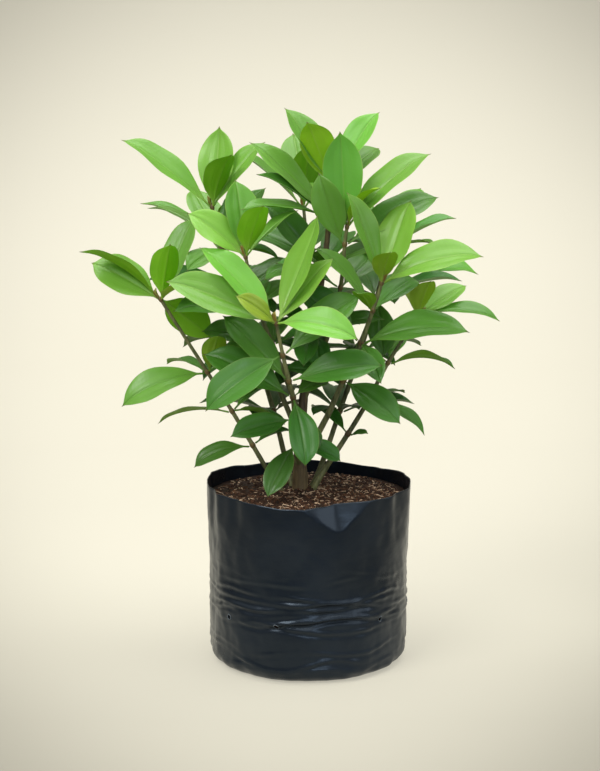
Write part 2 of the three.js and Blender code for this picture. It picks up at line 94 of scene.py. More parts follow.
def paper_material():
    paper = bpy.data.materials.new("cream_paper")
    paper.use_nodes = True
    nodes, links = paper.node_tree.nodes, paper.node_tree.links
    shader = nodes["Principled BSDF"]
    shader.inputs["Roughness"].default_value = 0.95
    shader.inputs["Specular IOR Level"].default_value = 0.1

    def sum_of(operation, first, second):
        node = nodes.new("ShaderNodeMath")
        node.operation = operation
        for socket, value in zip(node.inputs, (first, second)):
            if isinstance(value, float):
                socket.default_value = value
            else:
                links.new(value, socket)
        return node.outputs["Value"]

    place = nodes.new("ShaderNodeSeparateXYZ")
    links.new(nodes.new("ShaderNodeTexCoord").outputs["Object"], place.inputs["Vector"])
    # How far off the falling line a point lies, as a slope.
    away = sum_of("ADD", place.outputs["Y"], -SHADE_FROM.y)
    level = sum_of("DIVIDE", sum_of("SUBTRACT", place.outputs["X"], SHADE_FROM.x), away)
    climb = sum_of("DIVIDE", sum_of("SUBTRACT", place.outputs["Z"], SHADE_FROM.z), away)
    upright = sum_of("ADD", climb, SHADE_FALL)
    off = sum_of("ADD", sum_of("MULTIPLY", level, level), sum_of("MULTIPLY", upright, upright))
    shade = nodes.new("ShaderNodeValToRGB")
    shade.color_ramp.interpolation = "EASE"
    for element, (position, colour) in zip(shade.color_ramp.elements, (PAPER_LIT_MIDDLE, PAPER_SHADED_EDGE)):
        element.position, element.color = position, colour
    links.new(sum_of("MULTIPLY", off, SHADE_SPREAD), shade.inputs["Fac"])
    # Painted shade: the floor takes more light than the upright paper, so it is painted a deeper tone.
    evened = nodes.new("ShaderNodeValToRGB")
    elements = evened.color_ramp.elements
    while len(elements) < len(PAPER_SHADE_TONES):
        elements.new(0.5)
    for element, (height, tone) in zip(elements, PAPER_SHADE_TONES):
        element.position, element.color = height, (tone, tone, tone, 1)
    along = sum_of("ADD", sum_of("MULTIPLY", upright, TONE_SPREAD), TONE_START)
    links.new(along, evened.inputs["Fac"])
    tone = nodes.new("ShaderNodeMix")
    tone.data_type, tone.blend_type = "RGBA", "MULTIPLY"
    tone.inputs["Factor"].default_value = 1.0
    links.new(shade.outputs["Color"], tone.inputs[6])
    links.new(evened.outputs["Color"], tone.inputs[7])
    # In front of the plant the floor is painted dark, a painted shade for the dim of the room.
    lit = nodes.new("ShaderNodeMapRange")
    lit.interpolation_type = "SMOOTHSTEP"
    lit.inputs["From Min"].default_value = DIM_TO
    lit.inputs["From Max"].default_value = DIM_FROM
    links.new(place.outputs["Y"], lit.inputs["Value"])
    floor = nodes.new("ShaderNodeMix")
    floor.data_type = "RGBA"
    floor.inputs[6].default_value = DIM_FLOOR
    links.new(lit.outputs["Result"], floor.inputs["Factor"])
    links.new(tone.outputs[2], floor.inputs[7])
    links.new(floor.outputs[2], shader.inputs["Base Color"])
    # The same colour glows too: painted light, though the paper is no lamp.
    links.new(floor.outputs[2], shader.inputs["Emission Color"])
    shader.inputs["Emission Strength"].default_value = PAPER_GLOW
    return paper


def paper_sweep():
    flat = SWEEP_BACK - SWEEP_BEND
    profile = [(SWEEP_FRONT, 0.0), (flat, 0.0)]
    for step in range(1, SWEEP_BEND_STEPS + 1):
        turn = math.radians(90 * step / SWEEP_BEND_STEPS)
        profile.append((flat + SWEEP_BEND * math.sin(turn), SWEEP_BEND - SWEEP_BEND * math.cos(turn)))
    profile.append((SWEEP_BACK, SWEEP_HEIGHT))
    mesh = bpy.data.meshes.new("paper_sweep")
    points = [(x, y, z) for y, z in profile for x in (-SWEEP_HALF_WIDTH, SWEEP_HALF_WIDTH)]
    quads = [(2 * i, 2 * i + 1, 2 * i + 3, 2 * i + 2) for i in range(len(profile) - 1)]
    mesh.from_pydata(points, [], quads)
    for face in mesh.polygons:
        face.use_smooth = True
    mesh.materials.append(paper_material())
    sweep = bpy.data.objects.new("paper_sweep", mesh)
    bpy.context.collection.objects.link(sweep)


def soft_box(name, place, aim, width, height, power, colour):
    lamp = bpy.data.lights.new(name, "AREA")
    lamp.shape = "RECTANGLE"
    lamp.size = width
    lamp.size_y = height
    lamp.energy = power
    lamp.color = colour
    box = bpy.data.objects.new(name, lamp)
    box.location = place
    box.rotation_euler = (Vector(aim) - Vector(place)).to_track_quat("-Z", "Y").to_euler()
    bpy.context.collection.objects.link(box)


def dim_room():
    """Light from the room: bright overhead, cool and dim from the level down."""
    world = bpy.data.worlds.new("room")
    world.use_nodes = True
    nodes, links = world.node_tree.nodes, world.node_tree.links
    height = nodes.new("ShaderNodeSeparateXYZ")
    links.new(nodes.new("ShaderNodeTexCoord").outputs["Generated"], height.inputs["Vector"])
    light = nodes.new("ShaderNodeValToRGB")
    light.color_ramp.elements[0].position = 0.05
    light.color_ramp.elements[0].color = (0.1, 0.125, 0.16, 1)
    light.color_ramp.elements[1].position = 0.75
    light.color_ramp.elements[1].color = (1.0, 0.99, 0.94, 1)
    links.new(height.outputs["Z"], light.inputs["Fac"])
    links.new(light.outputs["Color"], nodes["Background"].inputs["Color"])
    nodes["Background"].inputs["Strength"].default_value = 0.9
    bpy.context.scene.world = world


paper_sweep()
# Each box: its place, what it aims at, its width and height in metres, its watts and its colour.
soft_box("key_light", (-1.3, -1.6, 2.3), (0, 0, 0.35), 1.4, 1.2, 52, (1.0, 0.99, 0.95))
soft_box("top_light", (0.2, 0.3, 2.6), (0, 0, 0.3), 2.4, 2.0, 58, (1.0, 1.0, 0.97))
soft_box("front_light", (0.5, -3.4, 1.35), (0, 0, 0.2), 1.5, 0.9, 22, (0.82, 0.91, 1.0))
soft_box("side_light", (2.2, -0.9, 1.1), (0, 0, 0.3), 1.2, 1.4, 10, (0.95, 0.98, 1.0))
dim_room()
bpy.context.scene.view_settings.view_transform = "Standard"


# ---------------------------------------------------------------- the nursery bag
# Black polythene film, heat-sealed across the base and filled until it stands up round. The
# mix holds it tight below; its free mouth creases and leans, and it settles in level wrinkles
# above the base where the film has slack. The drain holes are punched, and stretch a pale rim.
MM = 0.001
FILM = 0.7 * MM
BAG_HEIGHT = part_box("grow_bag")[1].z
BAG_RADIUS = 105 * MM
FOOT_RADIUS = 86 * MM
FOOT_CORNER = 15 * MM  # how high the base has rounded into the wall
BAG_TURNS = 288  # facets round the wall
BAG_ROWS = 112  # and up it
DRAIN_HOLES = [-141, -108, -44, -2, 44, 108, 141]  # their headings
DRAIN_HOLE_HEIGHT = 60 * MM
DRAIN_HOLE_RADIUS = 2.3 * MM
PUNCH_SIDES = 20
PUNCH_LENGTH = 24 * MM
SHEEN_FOLD = math.radians(-73)  # where the free film under the mouth folds in flat
# Creases down from the mouth: the heading of each and how far it stands out, in millimetres.
MOUTH_CREASES = [
    (-162, -2.2), (-150, 2.8), (-134, -2.6), (-118, 0.8), (-36, 1.6), (-29, -1.4), (-14, 1.8), (12, -2.0),
    (47, 2.4), (78, -2.2), (103, 2.2), (131, -2.6), (160, 2.0),
]
# Wrinkles round the bag: the height of each, its depth in millimetres, and a seed for its wander.
WRINKLES = [
    (88, 1.1, 5.3), (82, 1.6, 1.3), (75, 2.0, 4.1), (69, 2.1, 7.7), (64, 1.6, 2.9), (57, 1.1, 9.2),
    (104, 0.5, 6.1), (112, 0.4, 3.7), (30, 0.9, 8.4), (21, 1.1, 0.6), (12, 1.5, 2.2), (7, 1.3, 7.1),
]


def smooth(low, high, value):
    t = min(1.0, max(0.0, (value - low) / (high - low)))
    return t * t * (3 - 2 * t)


def ridge(value, middle, width):
    return math.exp(-(((value - middle) / width) ** 2))


def bag_wall(heading, z):
    """How far the film stands out from a round tube at a heading and a height."""
    free = smooth(120 * MM, BAG_HEIGHT, z)
    lean = -3.5 * MM * (1 - z / BAG_HEIGHT)
    bulge = 1.1 * math.sin(3 * heading + 0.6) * (0.5 + smooth(30 * MM, BAG_HEIGHT, z)) * MM
    place = Vector((math.cos(heading) * 2.2, math.sin(heading) * 2.2, z / BAG_RADIUS * 1.6))
    dent = (noise.noise(place) * 1.8 + noise.noise(place * 3.1) * 0.9 + noise.noise(place * 6.5) * 0.35) * MM
    # Level wrinkles: each wanders up and down round the bag and fades in and out.
    wrinkles = 0.0
    for height, depth, seed in WRINKLES:
        drift = noise.noise(Vector((math.cos(heading) * 1.6 + seed, math.sin(heading) * 1.6, seed)))
        chance = noise.noise(Vector((math.cos(heading) * 2.3, seed, math.sin(heading) * 2.3)))
        shown = smooth(-0.4, 0.2, chance)
        middle = (height + 11 * drift) * MM
        wrinkles += depth * shown * (ridge(z, middle, 1.9 * MM) - 0.9 * ridge(z, middle - 3.6 * MM, 2.2 * MM))
    wrinkles *= 0.4 + 0.8 * math.sin(heading) ** 2  # deepest across the front and the back
    # Upright creases in the free film at the mouth.
    creases = 0.0
    for where, depth in MOUTH_CREASES:
        gap = math.remainder(heading - math.radians(where), math.tau)
        creases += depth * math.exp(-((gap / math.radians(4.5)) ** 2))
    # The folded flat under the mouth: a wide point that leans in as it rises.
    gap = abs(math.remainder(heading - SHEEN_FOLD, math.tau)) / math.radians(17)
    fold = max(0.0, z - (156 + 26 * math.sqrt(gap * gap + 0.012)) * MM) * 0.45
    return lean + bulge + dent * (1 - 0.4 * free) + (wrinkles + creases * free) * MM - fold


def mouth_rise(heading, z):
    """How far the film rises or dips at its mouth, and nothing lower down."""
    near = smooth(140 * MM, BAG_HEIGHT, z)
    waves = 1.4 * math.sin(2 * heading + 1.9) + 1.1 * math.sin(5 * heading + 0.4) - 1.2
    nicks = 0.9 * noise.noise(Vector((math.cos(heading) * 6, math.sin(heading) * 6, 3.3)))
    return near * (waves + nicks) * MM


def bag_profile():
    """The outside of the bag from the middle of its base to its rim, as (radius, height, on_wall)."""
    points = [(FOOT_RADIUS * share, 0.0, 0.0) for share in (0.0, 0.3, 0.6, 0.82, 0.94, 1.0)]
    corner_steps = 8
    for step in range(1, corner_steps + 1):
        turn = math.radians(90 * step / corner_steps)
        radius = FOOT_RADIUS + (BAG_RADIUS - FOOT_RADIUS) * math.sin(turn)
        points.append((radius, FOOT_CORNER * (1 - math.cos(turn)), step / corner_steps))
    for row in range(1, BAG_ROWS + 1):
        points.append((BAG_RADIUS, FOOT_CORNER + (BAG_HEIGHT - FOOT_CORNER) * row / BAG_ROWS, 1.0))
    return points


def bag_mesh():
    shell = bmesh.new()
    profile = bag_profile()

    def skin(inset):
        rings = []
        for radius, height, on_wall in profile:
            if radius == 0:
                rings.append([shell.verts.new((0, 0, height + inset))])
                continue
            ring = []
            for turn in range(BAG_TURNS):
                heading = math.tau * turn / BAG_TURNS
                out = radius + on_wall * (bag_wall(heading, height) - inset)
                if 0 < on_wall < 1:  # the sealed edge puckers where it rounds on to the base
                    pucker = math.sin(heading * 13 + 3.0 * math.sin(heading * 2))
                    pucker += 0.5 * math.sin(heading * 31)
                    out += 0.9 * MM * math.sin(on_wall * math.pi) * pucker
                rise = height + mouth_rise(heading, height) + (1 - on_wall) * inset
                ring.append(shell.verts.new((math.cos(heading) * out, math.sin(heading) * out, rise)))
            rings.append(ring)
        return rings

    def weave(lower, upper, flipped):
        for turn in range(BAG_TURNS):
            after = (turn + 1) % BAG_TURNS
            if len(lower) == 1:
                face = [lower[0], upper[after], upper[turn]]
            else:
                face = [lower[turn], lower[after], upper[after], upper[turn]]
            shell.faces.new(face[::-1] if flipped else face).smooth = True

    outside, inside = skin(0.0), skin(FILM)
    for lower, upper in zip(outside, outside[1:]):
        weave(lower, upper, False)
    for lower, upper in zip(inside, inside[1:]):
        weave(lower, upper, True)
    weave(outside[-1], inside[-1], False)
    mesh = bpy.data.meshes.new("nursery_bag")
    shell.to_mesh(mesh)
    shell.free()
    return mesh


def film_material():
    film = bpy.data.materials.new("black_polythene")
    film.use_nodes = True
    nodes, links = film.node_tree.nodes, film.node_tree.links
    shader = nodes["Principled BSDF"]
    shader.inputs["Specular IOR Level"].default_value = 0.4
    shader.inputs["Specular Tint"].default_value = (0.64, 0.8, 1, 1)
    place = nodes.new("ShaderNodeTexCoord")
    haze = nodes.new("ShaderNodeTexNoise")
    haze.inputs["Scale"].default_value = 14
    haze.inputs["Detail"].default_value = 5
    links.new(place.outputs["Object"], haze.inputs["Vector"])
    tone = nodes.new("ShaderNodeValToRGB")
    tone.color_ramp.elements[0].position = 0.3
    tone.color_ramp.elements[0].color = (0.003, 0.0045, 0.007, 1)
    tone.color_ramp.elements[1].position = 0.75
    tone.color_ramp.elements[1].color = (0.008, 0.011, 0.016, 1)
    links.new(haze.outputs["Fac"], tone.inputs["Fac"])
    links.new(tone.outputs["Color"], shader.inputs["Base Color"])
    gloss = nodes.new("ShaderNodeMapRange")
    gloss.inputs["From Min"].default_value = 0.25
    gloss.inputs["From Max"].default_value = 0.75
    gloss.inputs["To Min"].default_value = 0.24
    gloss.inputs["To Max"].default_value = 0.4
    links.new(haze.outputs["Fac"], gloss.inputs["Value"])
    links.new(gloss.outputs["Result"], shader.inputs["Roughness"])
    # Fine crinkles in the film, longer round the bag than up it.
    stretch = nodes.new("ShaderNodeMapping")
    stretch.inputs["Scale"].default_value = (1, 1, 3.2)
    links.new(place.outputs["Object"], stretch.inputs["Vector"])
    crinkle = nodes.new("ShaderNodeTexNoise")
    crinkle.inputs["Scale"].default_value = 34
    crinkle.inputs["Detail"].default_value = 4
    links.new(stretch.outputs["Vector"], crinkle.inputs["Vector"])
    bump = nodes.new("ShaderNodeBump")
    bump.inputs["Strength"].default_value = 0.35
    bump.inputs["Distance"].default_value = 1.2 * MM
    links.new(crinkle.outputs["Fac"], bump.inputs["Height"])
    links.new(bump.outputs["Normal"], shader.inputs["Normal"])
    return film


def nursery_bag():
    mesh = bag_mesh()
    mesh.materials.append(film_material())
    bag = bpy.data.objects.new("nursery_bag", mesh)
    bpy.context.collection.objects.link(bag)
    punch = bmesh.new()
    for heading in DRAIN_HOLES:
        way = Vector((math.cos(math.radians(heading)), math.sin(math.radians(heading)), 0))
        hole = bmesh.ops.create_cone(
            punch, cap_ends=True, segments=PUNCH_SIDES,
            radius1=DRAIN_HOLE_RADIUS, radius2=DRAIN_HOLE_RADIUS, depth=PUNCH_LENGTH,
        )
        turn = way.to_track_quat("Z", "Y").to_matrix().to_4x4()
        turn.translation = way * (BAG_RADIUS - 2 * MM) + Vector((0, 0, DRAIN_HOLE_HEIGHT))
        bmesh.ops.transform(punch, matrix=turn, verts=hole["verts"])
    punches = bpy.data.objects.new("punches", bpy.data.meshes.new("punches"))
    punch.to_mesh(punches.data)
    punch.free()
    bpy.context.collection.objects.link(punches)
    cut = bag.modifiers.new("drain_holes", "BOOLEAN")
    cut.operation = "DIFFERENCE"
    cut.object = punches
    cut.solver = "EXACT"
    seen = bpy.context.evaluated_depsgraph_get()
    bag.data = bpy.data.meshes.new_from_object(bag.evaluated_get(seen))
    bag.modifiers.clear()
    bpy.data.objects.remove(punches)
    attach(bag, "root")
    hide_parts("grow_bag")


nursery_bag()


# ---------------------------------------------------------------- the drain holes' rims
# Where the punch went through, the film is stretched pale and stands up in a rough ring. Each
# ring is a bent roll of film that follows the wall round its hole.
RIM_STAND = 0.55 * MM
RIM_SPREAD = 0.5 * MM


def rim_mesh():
    rims = bmesh.new()
    around, through = 28, 8
    for heading in DRAIN_HOLES:
        turn = math.radians(heading)
        rings = []
        for step in range(around):
            angle = math.tau * step / around
            ragged = noise.noise(Vector((math.cos(angle) * 1.6, math.sin(angle) * 1.6, turn * 3)))
            radius = DRAIN_HOLE_RADIUS * (1.12 + 0.2 * ragged)
            side, rise = math.cos(angle) * radius, math.sin(angle) * radius
            here = turn + side / BAG_RADIUS
            height = DRAIN_HOLE_HEIGHT + rise
            skin = BAG_RADIUS + bag_wall(here, height)
            ring = []
            for part in range(through):
                about = math.tau * part / through
                out = skin + math.cos(about) * RIM_STAND
                spread = 1 + math.sin(about) * RIM_SPREAD / radius * (1 + ragged)
                at = turn + side * spread / BAG_RADIUS
                up = DRAIN_HOLE_HEIGHT + rise * spread
                ring.append(rims.verts.new((math.cos(at) * out, math.sin(at) * out, up)))
            rings.append(ring)
        for step in range(around):
            here, after = rings[step], rings[(step + 1) % around]
            for part in range(through):
                beside = (part + 1) % through
                rims.faces.new((here[part], after[part], after[beside], here[beside])).smooth = True
    bmesh.ops.recalc_face_normals(rims, faces=rims.faces)
    mesh = bpy.data.meshes.new("drain_hole_rims")
    rims.to_mesh(mesh)
    rims.free()
    return mesh


def drain_hole_rims():
    stretched = bpy.data.materials.new("stretched_film")
    stretched.use_nodes = True
    shader = stretched.node_tree.nodes["Principled BSDF"]
    shader.inputs["Base Color"].default_value = (0.06, 0.075, 0.09, 1)
    shader.inputs["Roughness"].default_value = 0.5
    mesh = rim_mesh()
    mesh.materials.append(stretched)
    rims = bpy.data.objects.new("drain_hole_rims", mesh)
    bpy.context.collection.objects.link(rims)
    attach(rims, "root")
    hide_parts("grow_bag")


drain_hole_rims()


# ---------------------------------------------------------------- the wood
# The trunk rises out of its roots, and branches leave it or spring up beside it. Old wood is
# brown and ridged, young wood olive, and both are ringed where leaves have grown.

# The plant's habit, in millimetres. The trunk is points from its root up, each with the wood's
# radius. A root is its heading, the height that it leaves the trunk at, its reach, and the height
# that it ends at. A shoot is the points that it rises through before its first whorl, the radius
# of its foot, and its whorls from the lowest up. A whorl is its place on the stem and its leaves.
# A leaf is [heading, rise, length, bend, roll, width]: the chord's direction in degrees round Z
# and above level, its length, the blade's arch and turn about it in degrees, and its width as a
# percentage of its length.
TRUNK_FOOT = [
    [[-6, 10, 84], 5.5], [[-8, 9, 150], 8.5], [[-8, 8, 182], 8.4], [[-8, 7, 214], 6.6], [[-5, 9, 268], 4.6],
]
ROOTS = [(15, 132, 66, 70), (88, 122, 58, 46), (160, 134, 70, 62), (232, 124, 62, 40), (305, 130, 68, 78)]
ROOT_RADIUS, ROOT_TIP_RADIUS = 3.6, 1.4
STEM_TIP_RADIUS = 1.7
WOOD_STEP = 2.4 * MM  # between one ring of facets and the next
SHOOTS = [
    { "name": "top", "foot": [], "radius": 0, "whorls": [
      [[5, 11, 340], [[130, 14, 78, 30, 0, 40], [-100, -24, 58, 30, 0, 42], [14, 10, 74, 30, -20, 42],
        [-80, -40, 50, 20, 0, 50]]],
      [[16, 8, 408], [[160, 22, 88, 30, 20, 38], [-14, 24, 70, 30, -30, 38], [70, 20, 84, 30, 0, 38],
        [-150, -6, 66, 30, 10, 46], [-104, 26, 50, 24, 0, 46], [172, 50, 88, 14, 40, 40]]],
      [[22, 4, 460], [[175, 45, 108, 12, 22, 36], [-172, 33, 84, 20, 20, 34], [-160, 8, 92, 26, 10, 34],
        [100, 20, 84, 26, 0, 38]]],
      [[25, 2, 490], [[153, 56, 94, 8, 16, 42], [-150, 66, 72, 10, -50, 50],
        [34, 53, 92, 18, -14, 36], [43, 29, 74, 14, -16, 46]]],
    ] },
    { "name": "front", "foot": [[-8, 7, 200], [-10, -3, 214]], "radius": 4.0, "whorls": [
      [[-12, -13, 230], [[-124, -42, 66, 14, 20, 40], [-14, -20, 46, 30, -30, 50]]],
      [[-13, -26, 258], [[-152, -8, 70, 26, 44, 40], [-44, -36, 40, 30, -30, 50]]],
      [[-15, -42, 283], [[-72, -56, 72, 30, 4, 44], [172, 26, 98, 26, 40, 40], [50, 8, 52, 30, -20, 40]]],
      [[-19, -54, 302], [[-14, 13, 94, 26, -46, 40], [163, 44, 92, 10, 30, 42]]],
      [[-25, -64, 330], [[-160, -32, 93, 34, 46, 42], [18, 36, 97, 24, -40, 38]]],
      [[-31, -71, 361], [[38, 62, 116, -4, 4, 40], [163, 44, 108, 14, 26, 36], [-176, 23, 116, 18, 44, 38],
        [22, 47, 87, 14, -26, 38], [-22, -6, 86, 54, -38, 42], [-150, 36, 54, 30, 66, 40]]],
    ] },
    { "name": "left", "foot": [[-9, 9, 146], [-30, 9, 178], [-43, 8, 198]], "radius": 3.0, "whorls": [
      [[-57, 6, 223], [[-168, -17, 62, 56, 26, 40], [30, 12, 46, 30, 0, 42]]],
      [[-78, 5, 259], [[165, -10, 80, 40, -10, 34], [-30, -6, 62, 36, 20, 34], [40, 24, 66, 24, 0, 42]]],
      [[-103, 0, 301], [[-165, -18, 92, 52, 34, 40], [134, 2, 62, 44, 0, 34], [10, 30, 62, 20, -30, 50],
        [-70, 52, 56, 16, 0, 44]]],
      [[-148, -10, 376], [[-170, 34, 96, 34, -16, 30], [171, 28, 80, 18, 46, 52], [-68, 64, 68, 4, 0, 46],
        [42, 62, 92, 10, -14, 36], [-48, 22, 56, 30, -10, 56], [30, -38, 72, 30, 70, 50]]],
    ] },
    { "name": "left_top", "foot": [[-7, 8, 226], [-22, 14, 262], [-42, 20, 308]], "radius": 3.0, "whorls": [
      [[-72, 22, 375], [[-164, 14, 70, 30, 30, 42], [40, 24, 80, 30, -20, 38], [-40, -8, 44, 30, 0, 48],
        [-90, 20, 60, 24, 0, 46]]],
      [[-88, 21, 425], [[148, 24, 98, 36, -10, 32], [55, 62, 68, 4, 0, 44], [-128, -16, 54, 30, 20, 48],
        [0, -10, 58, 30, 0, 42]]],
      [[-97, 20, 466], [[-175, 39, 114, 14, 28, 36], [74, 72, 84, -4, 0, 46], [-54, 60, 66, 30, 0, 52],
        [16, 51, 86, 18, -22, 38]]],
    ] },
    { "name": "centre_left", "foot": [[-6, 8, 248], [-20, -2, 288]], "radius": 2.8, "whorls": [
      [[-36, -14, 332], [[166, 10, 73, 30, 30, 44], [-14, 16, 62, 30, -20, 42], [-176, -48, 52, 20, 0, 46],
        [80, 20, 56, 24, 0, 42]]],
      [[-50, -24, 372], [[178, -2, 84, 30, 34, 42], [60, 14, 68, 30, -10, 40], [90, 20, 58, 20, 0, 42]]],
      [[-62, -30, 422], [[-60, 58, 66, 20, 0, 50], [-176, 39, 72, 26, 46, 50], [113, 71, 80, 4, 0, 46],
        [12, 42, 70, 20, -10, 34]]],
    ] },
    { "name": "centre_right", "foot": [[-4, 9, 270], [9, 2, 304], [22, -5, 345]], "radius": 2.8, "whorls": [
      [[33, -10, 390], [[60, 20, 84, 20, -20, 40], [-160, 24, 72, 20, 20, 40]]],
      [[37, -13, 434], [[20, 25, 110, 20, -30, 36], [-164, 71, 76, 4, 112, 42]]],
      [[39, -14, 450], [[-24, 51, 54, 44, 0, 50], [14, 41, 113, 28, -24, 36], [170, 86, 96, -4, 84, 42],
        [56, 57, 46, 10, 0, 40]]],
    ] },
    { "name": "right", "foot": [[-6, 7, 206], [6, 3, 228], [20, -5, 256]], "radius": 3.8, "whorls": [
      [[36, -14, 295], [[-34, -28, 74, 36, -40, 44], [70, 24, 60, 30, -20, 42], [176, 10, 58, 30, 30, 44]]],
      [[53, -26, 336], [[-9, 9, 108, 44, -30, 42], [170, 40, 84, 20, 40, 46], [-70, -30, 60, 30, -20, 40]]],
      [[65, -34, 370], [[179, 49, 84, 34, 26, 32], [50, 20, 74, 30, -20, 44], [-110, 30, 50, 24, 0, 46]]],
      [[73, -40, 397], [[44, 64, 90, 4, -10, 50], [-74, 54, 44, 24, 0, 60], [-7, 17, 104, 48, -34, 42],
        [12, 5, 100, 42, -16, 36], [-165, 70, 98, 8, 50, 36]]],
    ] },
    { "name": "far_right", "foot": [[-6, 8, 150], [7, 8, 178], [19, 12, 198]], "radius": 3.6, "whorls": [
      [[42, 16, 233], [[-25, 12, 20, 30, -20, 60], [130, 20, 60, 30, 0, 36]]],
      [[62, 20, 266], [[-10, -28, 66, 50, -14, 36], [45, 4, 56, 34, 0, 34]]],
      [[83, 20, 307], [[-14, 0, 68, 54, 20, 44], [66, 20, 50, 40, 0, 34], [-150, 30, 44, 26, 10, 40]]],
      [[112, 20, 354], [[-66, 56, 50, 16, 0, 56], [25, 28, 64, 14, -26, 46], [-4, -1, 84, 42, -14, 32],
        [146, 62, 46, 8, 0, 46]]],
    ] },
    { "name": "back_left", "foot": [[-10, 11, 154], [-20, 32, 188]], "radius": 3.2, "whorls": [
      [[-36, 50, 250], [[176, 8, 76, 30, 0, 42], [-110, 8, 58, 30, 0, 42], [80, 10, 78, 30, 0, 40],
        [-40, 20, 40, 30, 0, 50]]],
      [[-58, 66, 320], [[150, -6, 86, 40, 0, 38], [-100, -10, 50, 30, 0, 42], [60, 10, 84, 36, 0, 38],
        [-40, -2, 62, 30, 0, 46], [-150, -30, 66, 30, 0, 46]]],
      [[-74, 76, 370], [[178, 10, 96, 44, 20, 36], [80, 12, 92, 36, 0, 38], [-50, -12, 62, 30, 0, 46],
        [-116, 2, 70, 30, 0, 46]]],
      [[-88, 84, 412], [[165, 30, 104, 34, 0, 34], [120, 40, 96, 20, 0, 38], [40, 50, 86, 14, 0, 40],
        [-70, 60, 70, 10, 0, 40], [-150, 36, 60, 30, 10, 40], [-14, 16, 66, 20, 20, 42]]],
    ] },
    { "name": "back", "foot": [[-7, 8, 212], [-4, 26, 248]], "radius": 3.4, "whorls": [
      [[0, 52, 300], [[-170, 4, 78, 30, 10, 42], [-8, 6, 62, 30, 0, 44], [84, 14, 84, 30, 0, 40],
        [-118, -12, 60, 30, 0, 46], [-52, -16, 60, 30, 0, 46]]],
      [[2, 76, 360], [[26, 6, 68, 36, 0, 38], [160, 8, 80, 36, 0, 38], [-96, 34, 64, 20, 0, 44],
        [-30, -16, 60, 30, 0, 46], [-150, 14, 62, 30, 0, 46]]],
      [[0, 92, 412], [[70, 16, 92, 30, 0, 38], [-110, 30, 66, 30, 0, 38], [172, 16, 76, 30, 0, 44],
        [-24, 12, 68, 30, 0, 44]]],
      [[-4, 104, 456], [[100, 50, 100, 14, 0, 38], [20, 46, 96, 16, 0, 40], [170, 40, 92, 20, 0, 40],
        [-80, 66, 76, 8, 0, 40]]],
    ] },
    { "name": "back_right", "foot": [[-6, 11, 158], [12, 30, 190]], "radius": 3.2, "whorls": [
      [[34, 50, 250], [[2, 8, 76, 30, 0, 42], [-70, 14, 54, 30, 0, 42], [94, 10, 78, 30, 0, 40],
        [-128, 4, 44, 30, 0, 48], [168, 26, 54, 30, 0, 46]]],
      [[56, 64, 312], [[36, 0, 80, 40, 0, 38], [-40, -12, 44, 36, 0, 42], [130, 10, 80, 36, 0, 38],
        [-100, 12, 58, 30, 0, 46], [-168, 0, 50, 30, 0, 48]]],
      [[72, 74, 366], [[0, 14, 90, 34, 0, 36], [100, 12, 90, 36, 0, 38], [-84, -50, 70, 10, 0, 44],
        [-134, 6, 74, 30, 0, 44], [-72, 4, 54, 30, 0, 46]]],
      [[84, 82, 414], [[10, 26, 80, 26, 0, 36], [60, 40, 96, 20, 0, 38], [140, 46, 88, 14, 0, 40],
        [-90, 62, 66, 10, 0, 42], [-120, 4, 50, 30, 0, 46], [-40, 12, 62, 30, 0, 42]]],
    ] },
]


def place(point):
    return Vector(point) * MM


def line_of(shoot):
    """Every point of a shoot's stem from its foot to its tip, with the wood's radius there."""
    tops = [whorl[0] for whorl in shoot["whorls"]]
    if shoot["name"] == "top":
        steps = [radius for _, radius in TRUNK_FOOT]
        thin = [steps[-1] + (STEM_TIP_RADIUS - steps[-1]) * (i + 1) / len(tops) for i in range(len(tops))]
        points = [place(point) for point, _ in TRUNK_FOOT] + [place(top) for top in tops]
        return points, [r * MM for r in steps + thin]
    points = [*shoot["foot"], *tops]
    last = len(points) - 1
    radii = [(shoot["radius"] + (STEM_TIP_RADIUS - shoot["radius"]) * i / last) * MM for i in range(last + 1)]
    return [place(point) for point in points], radii


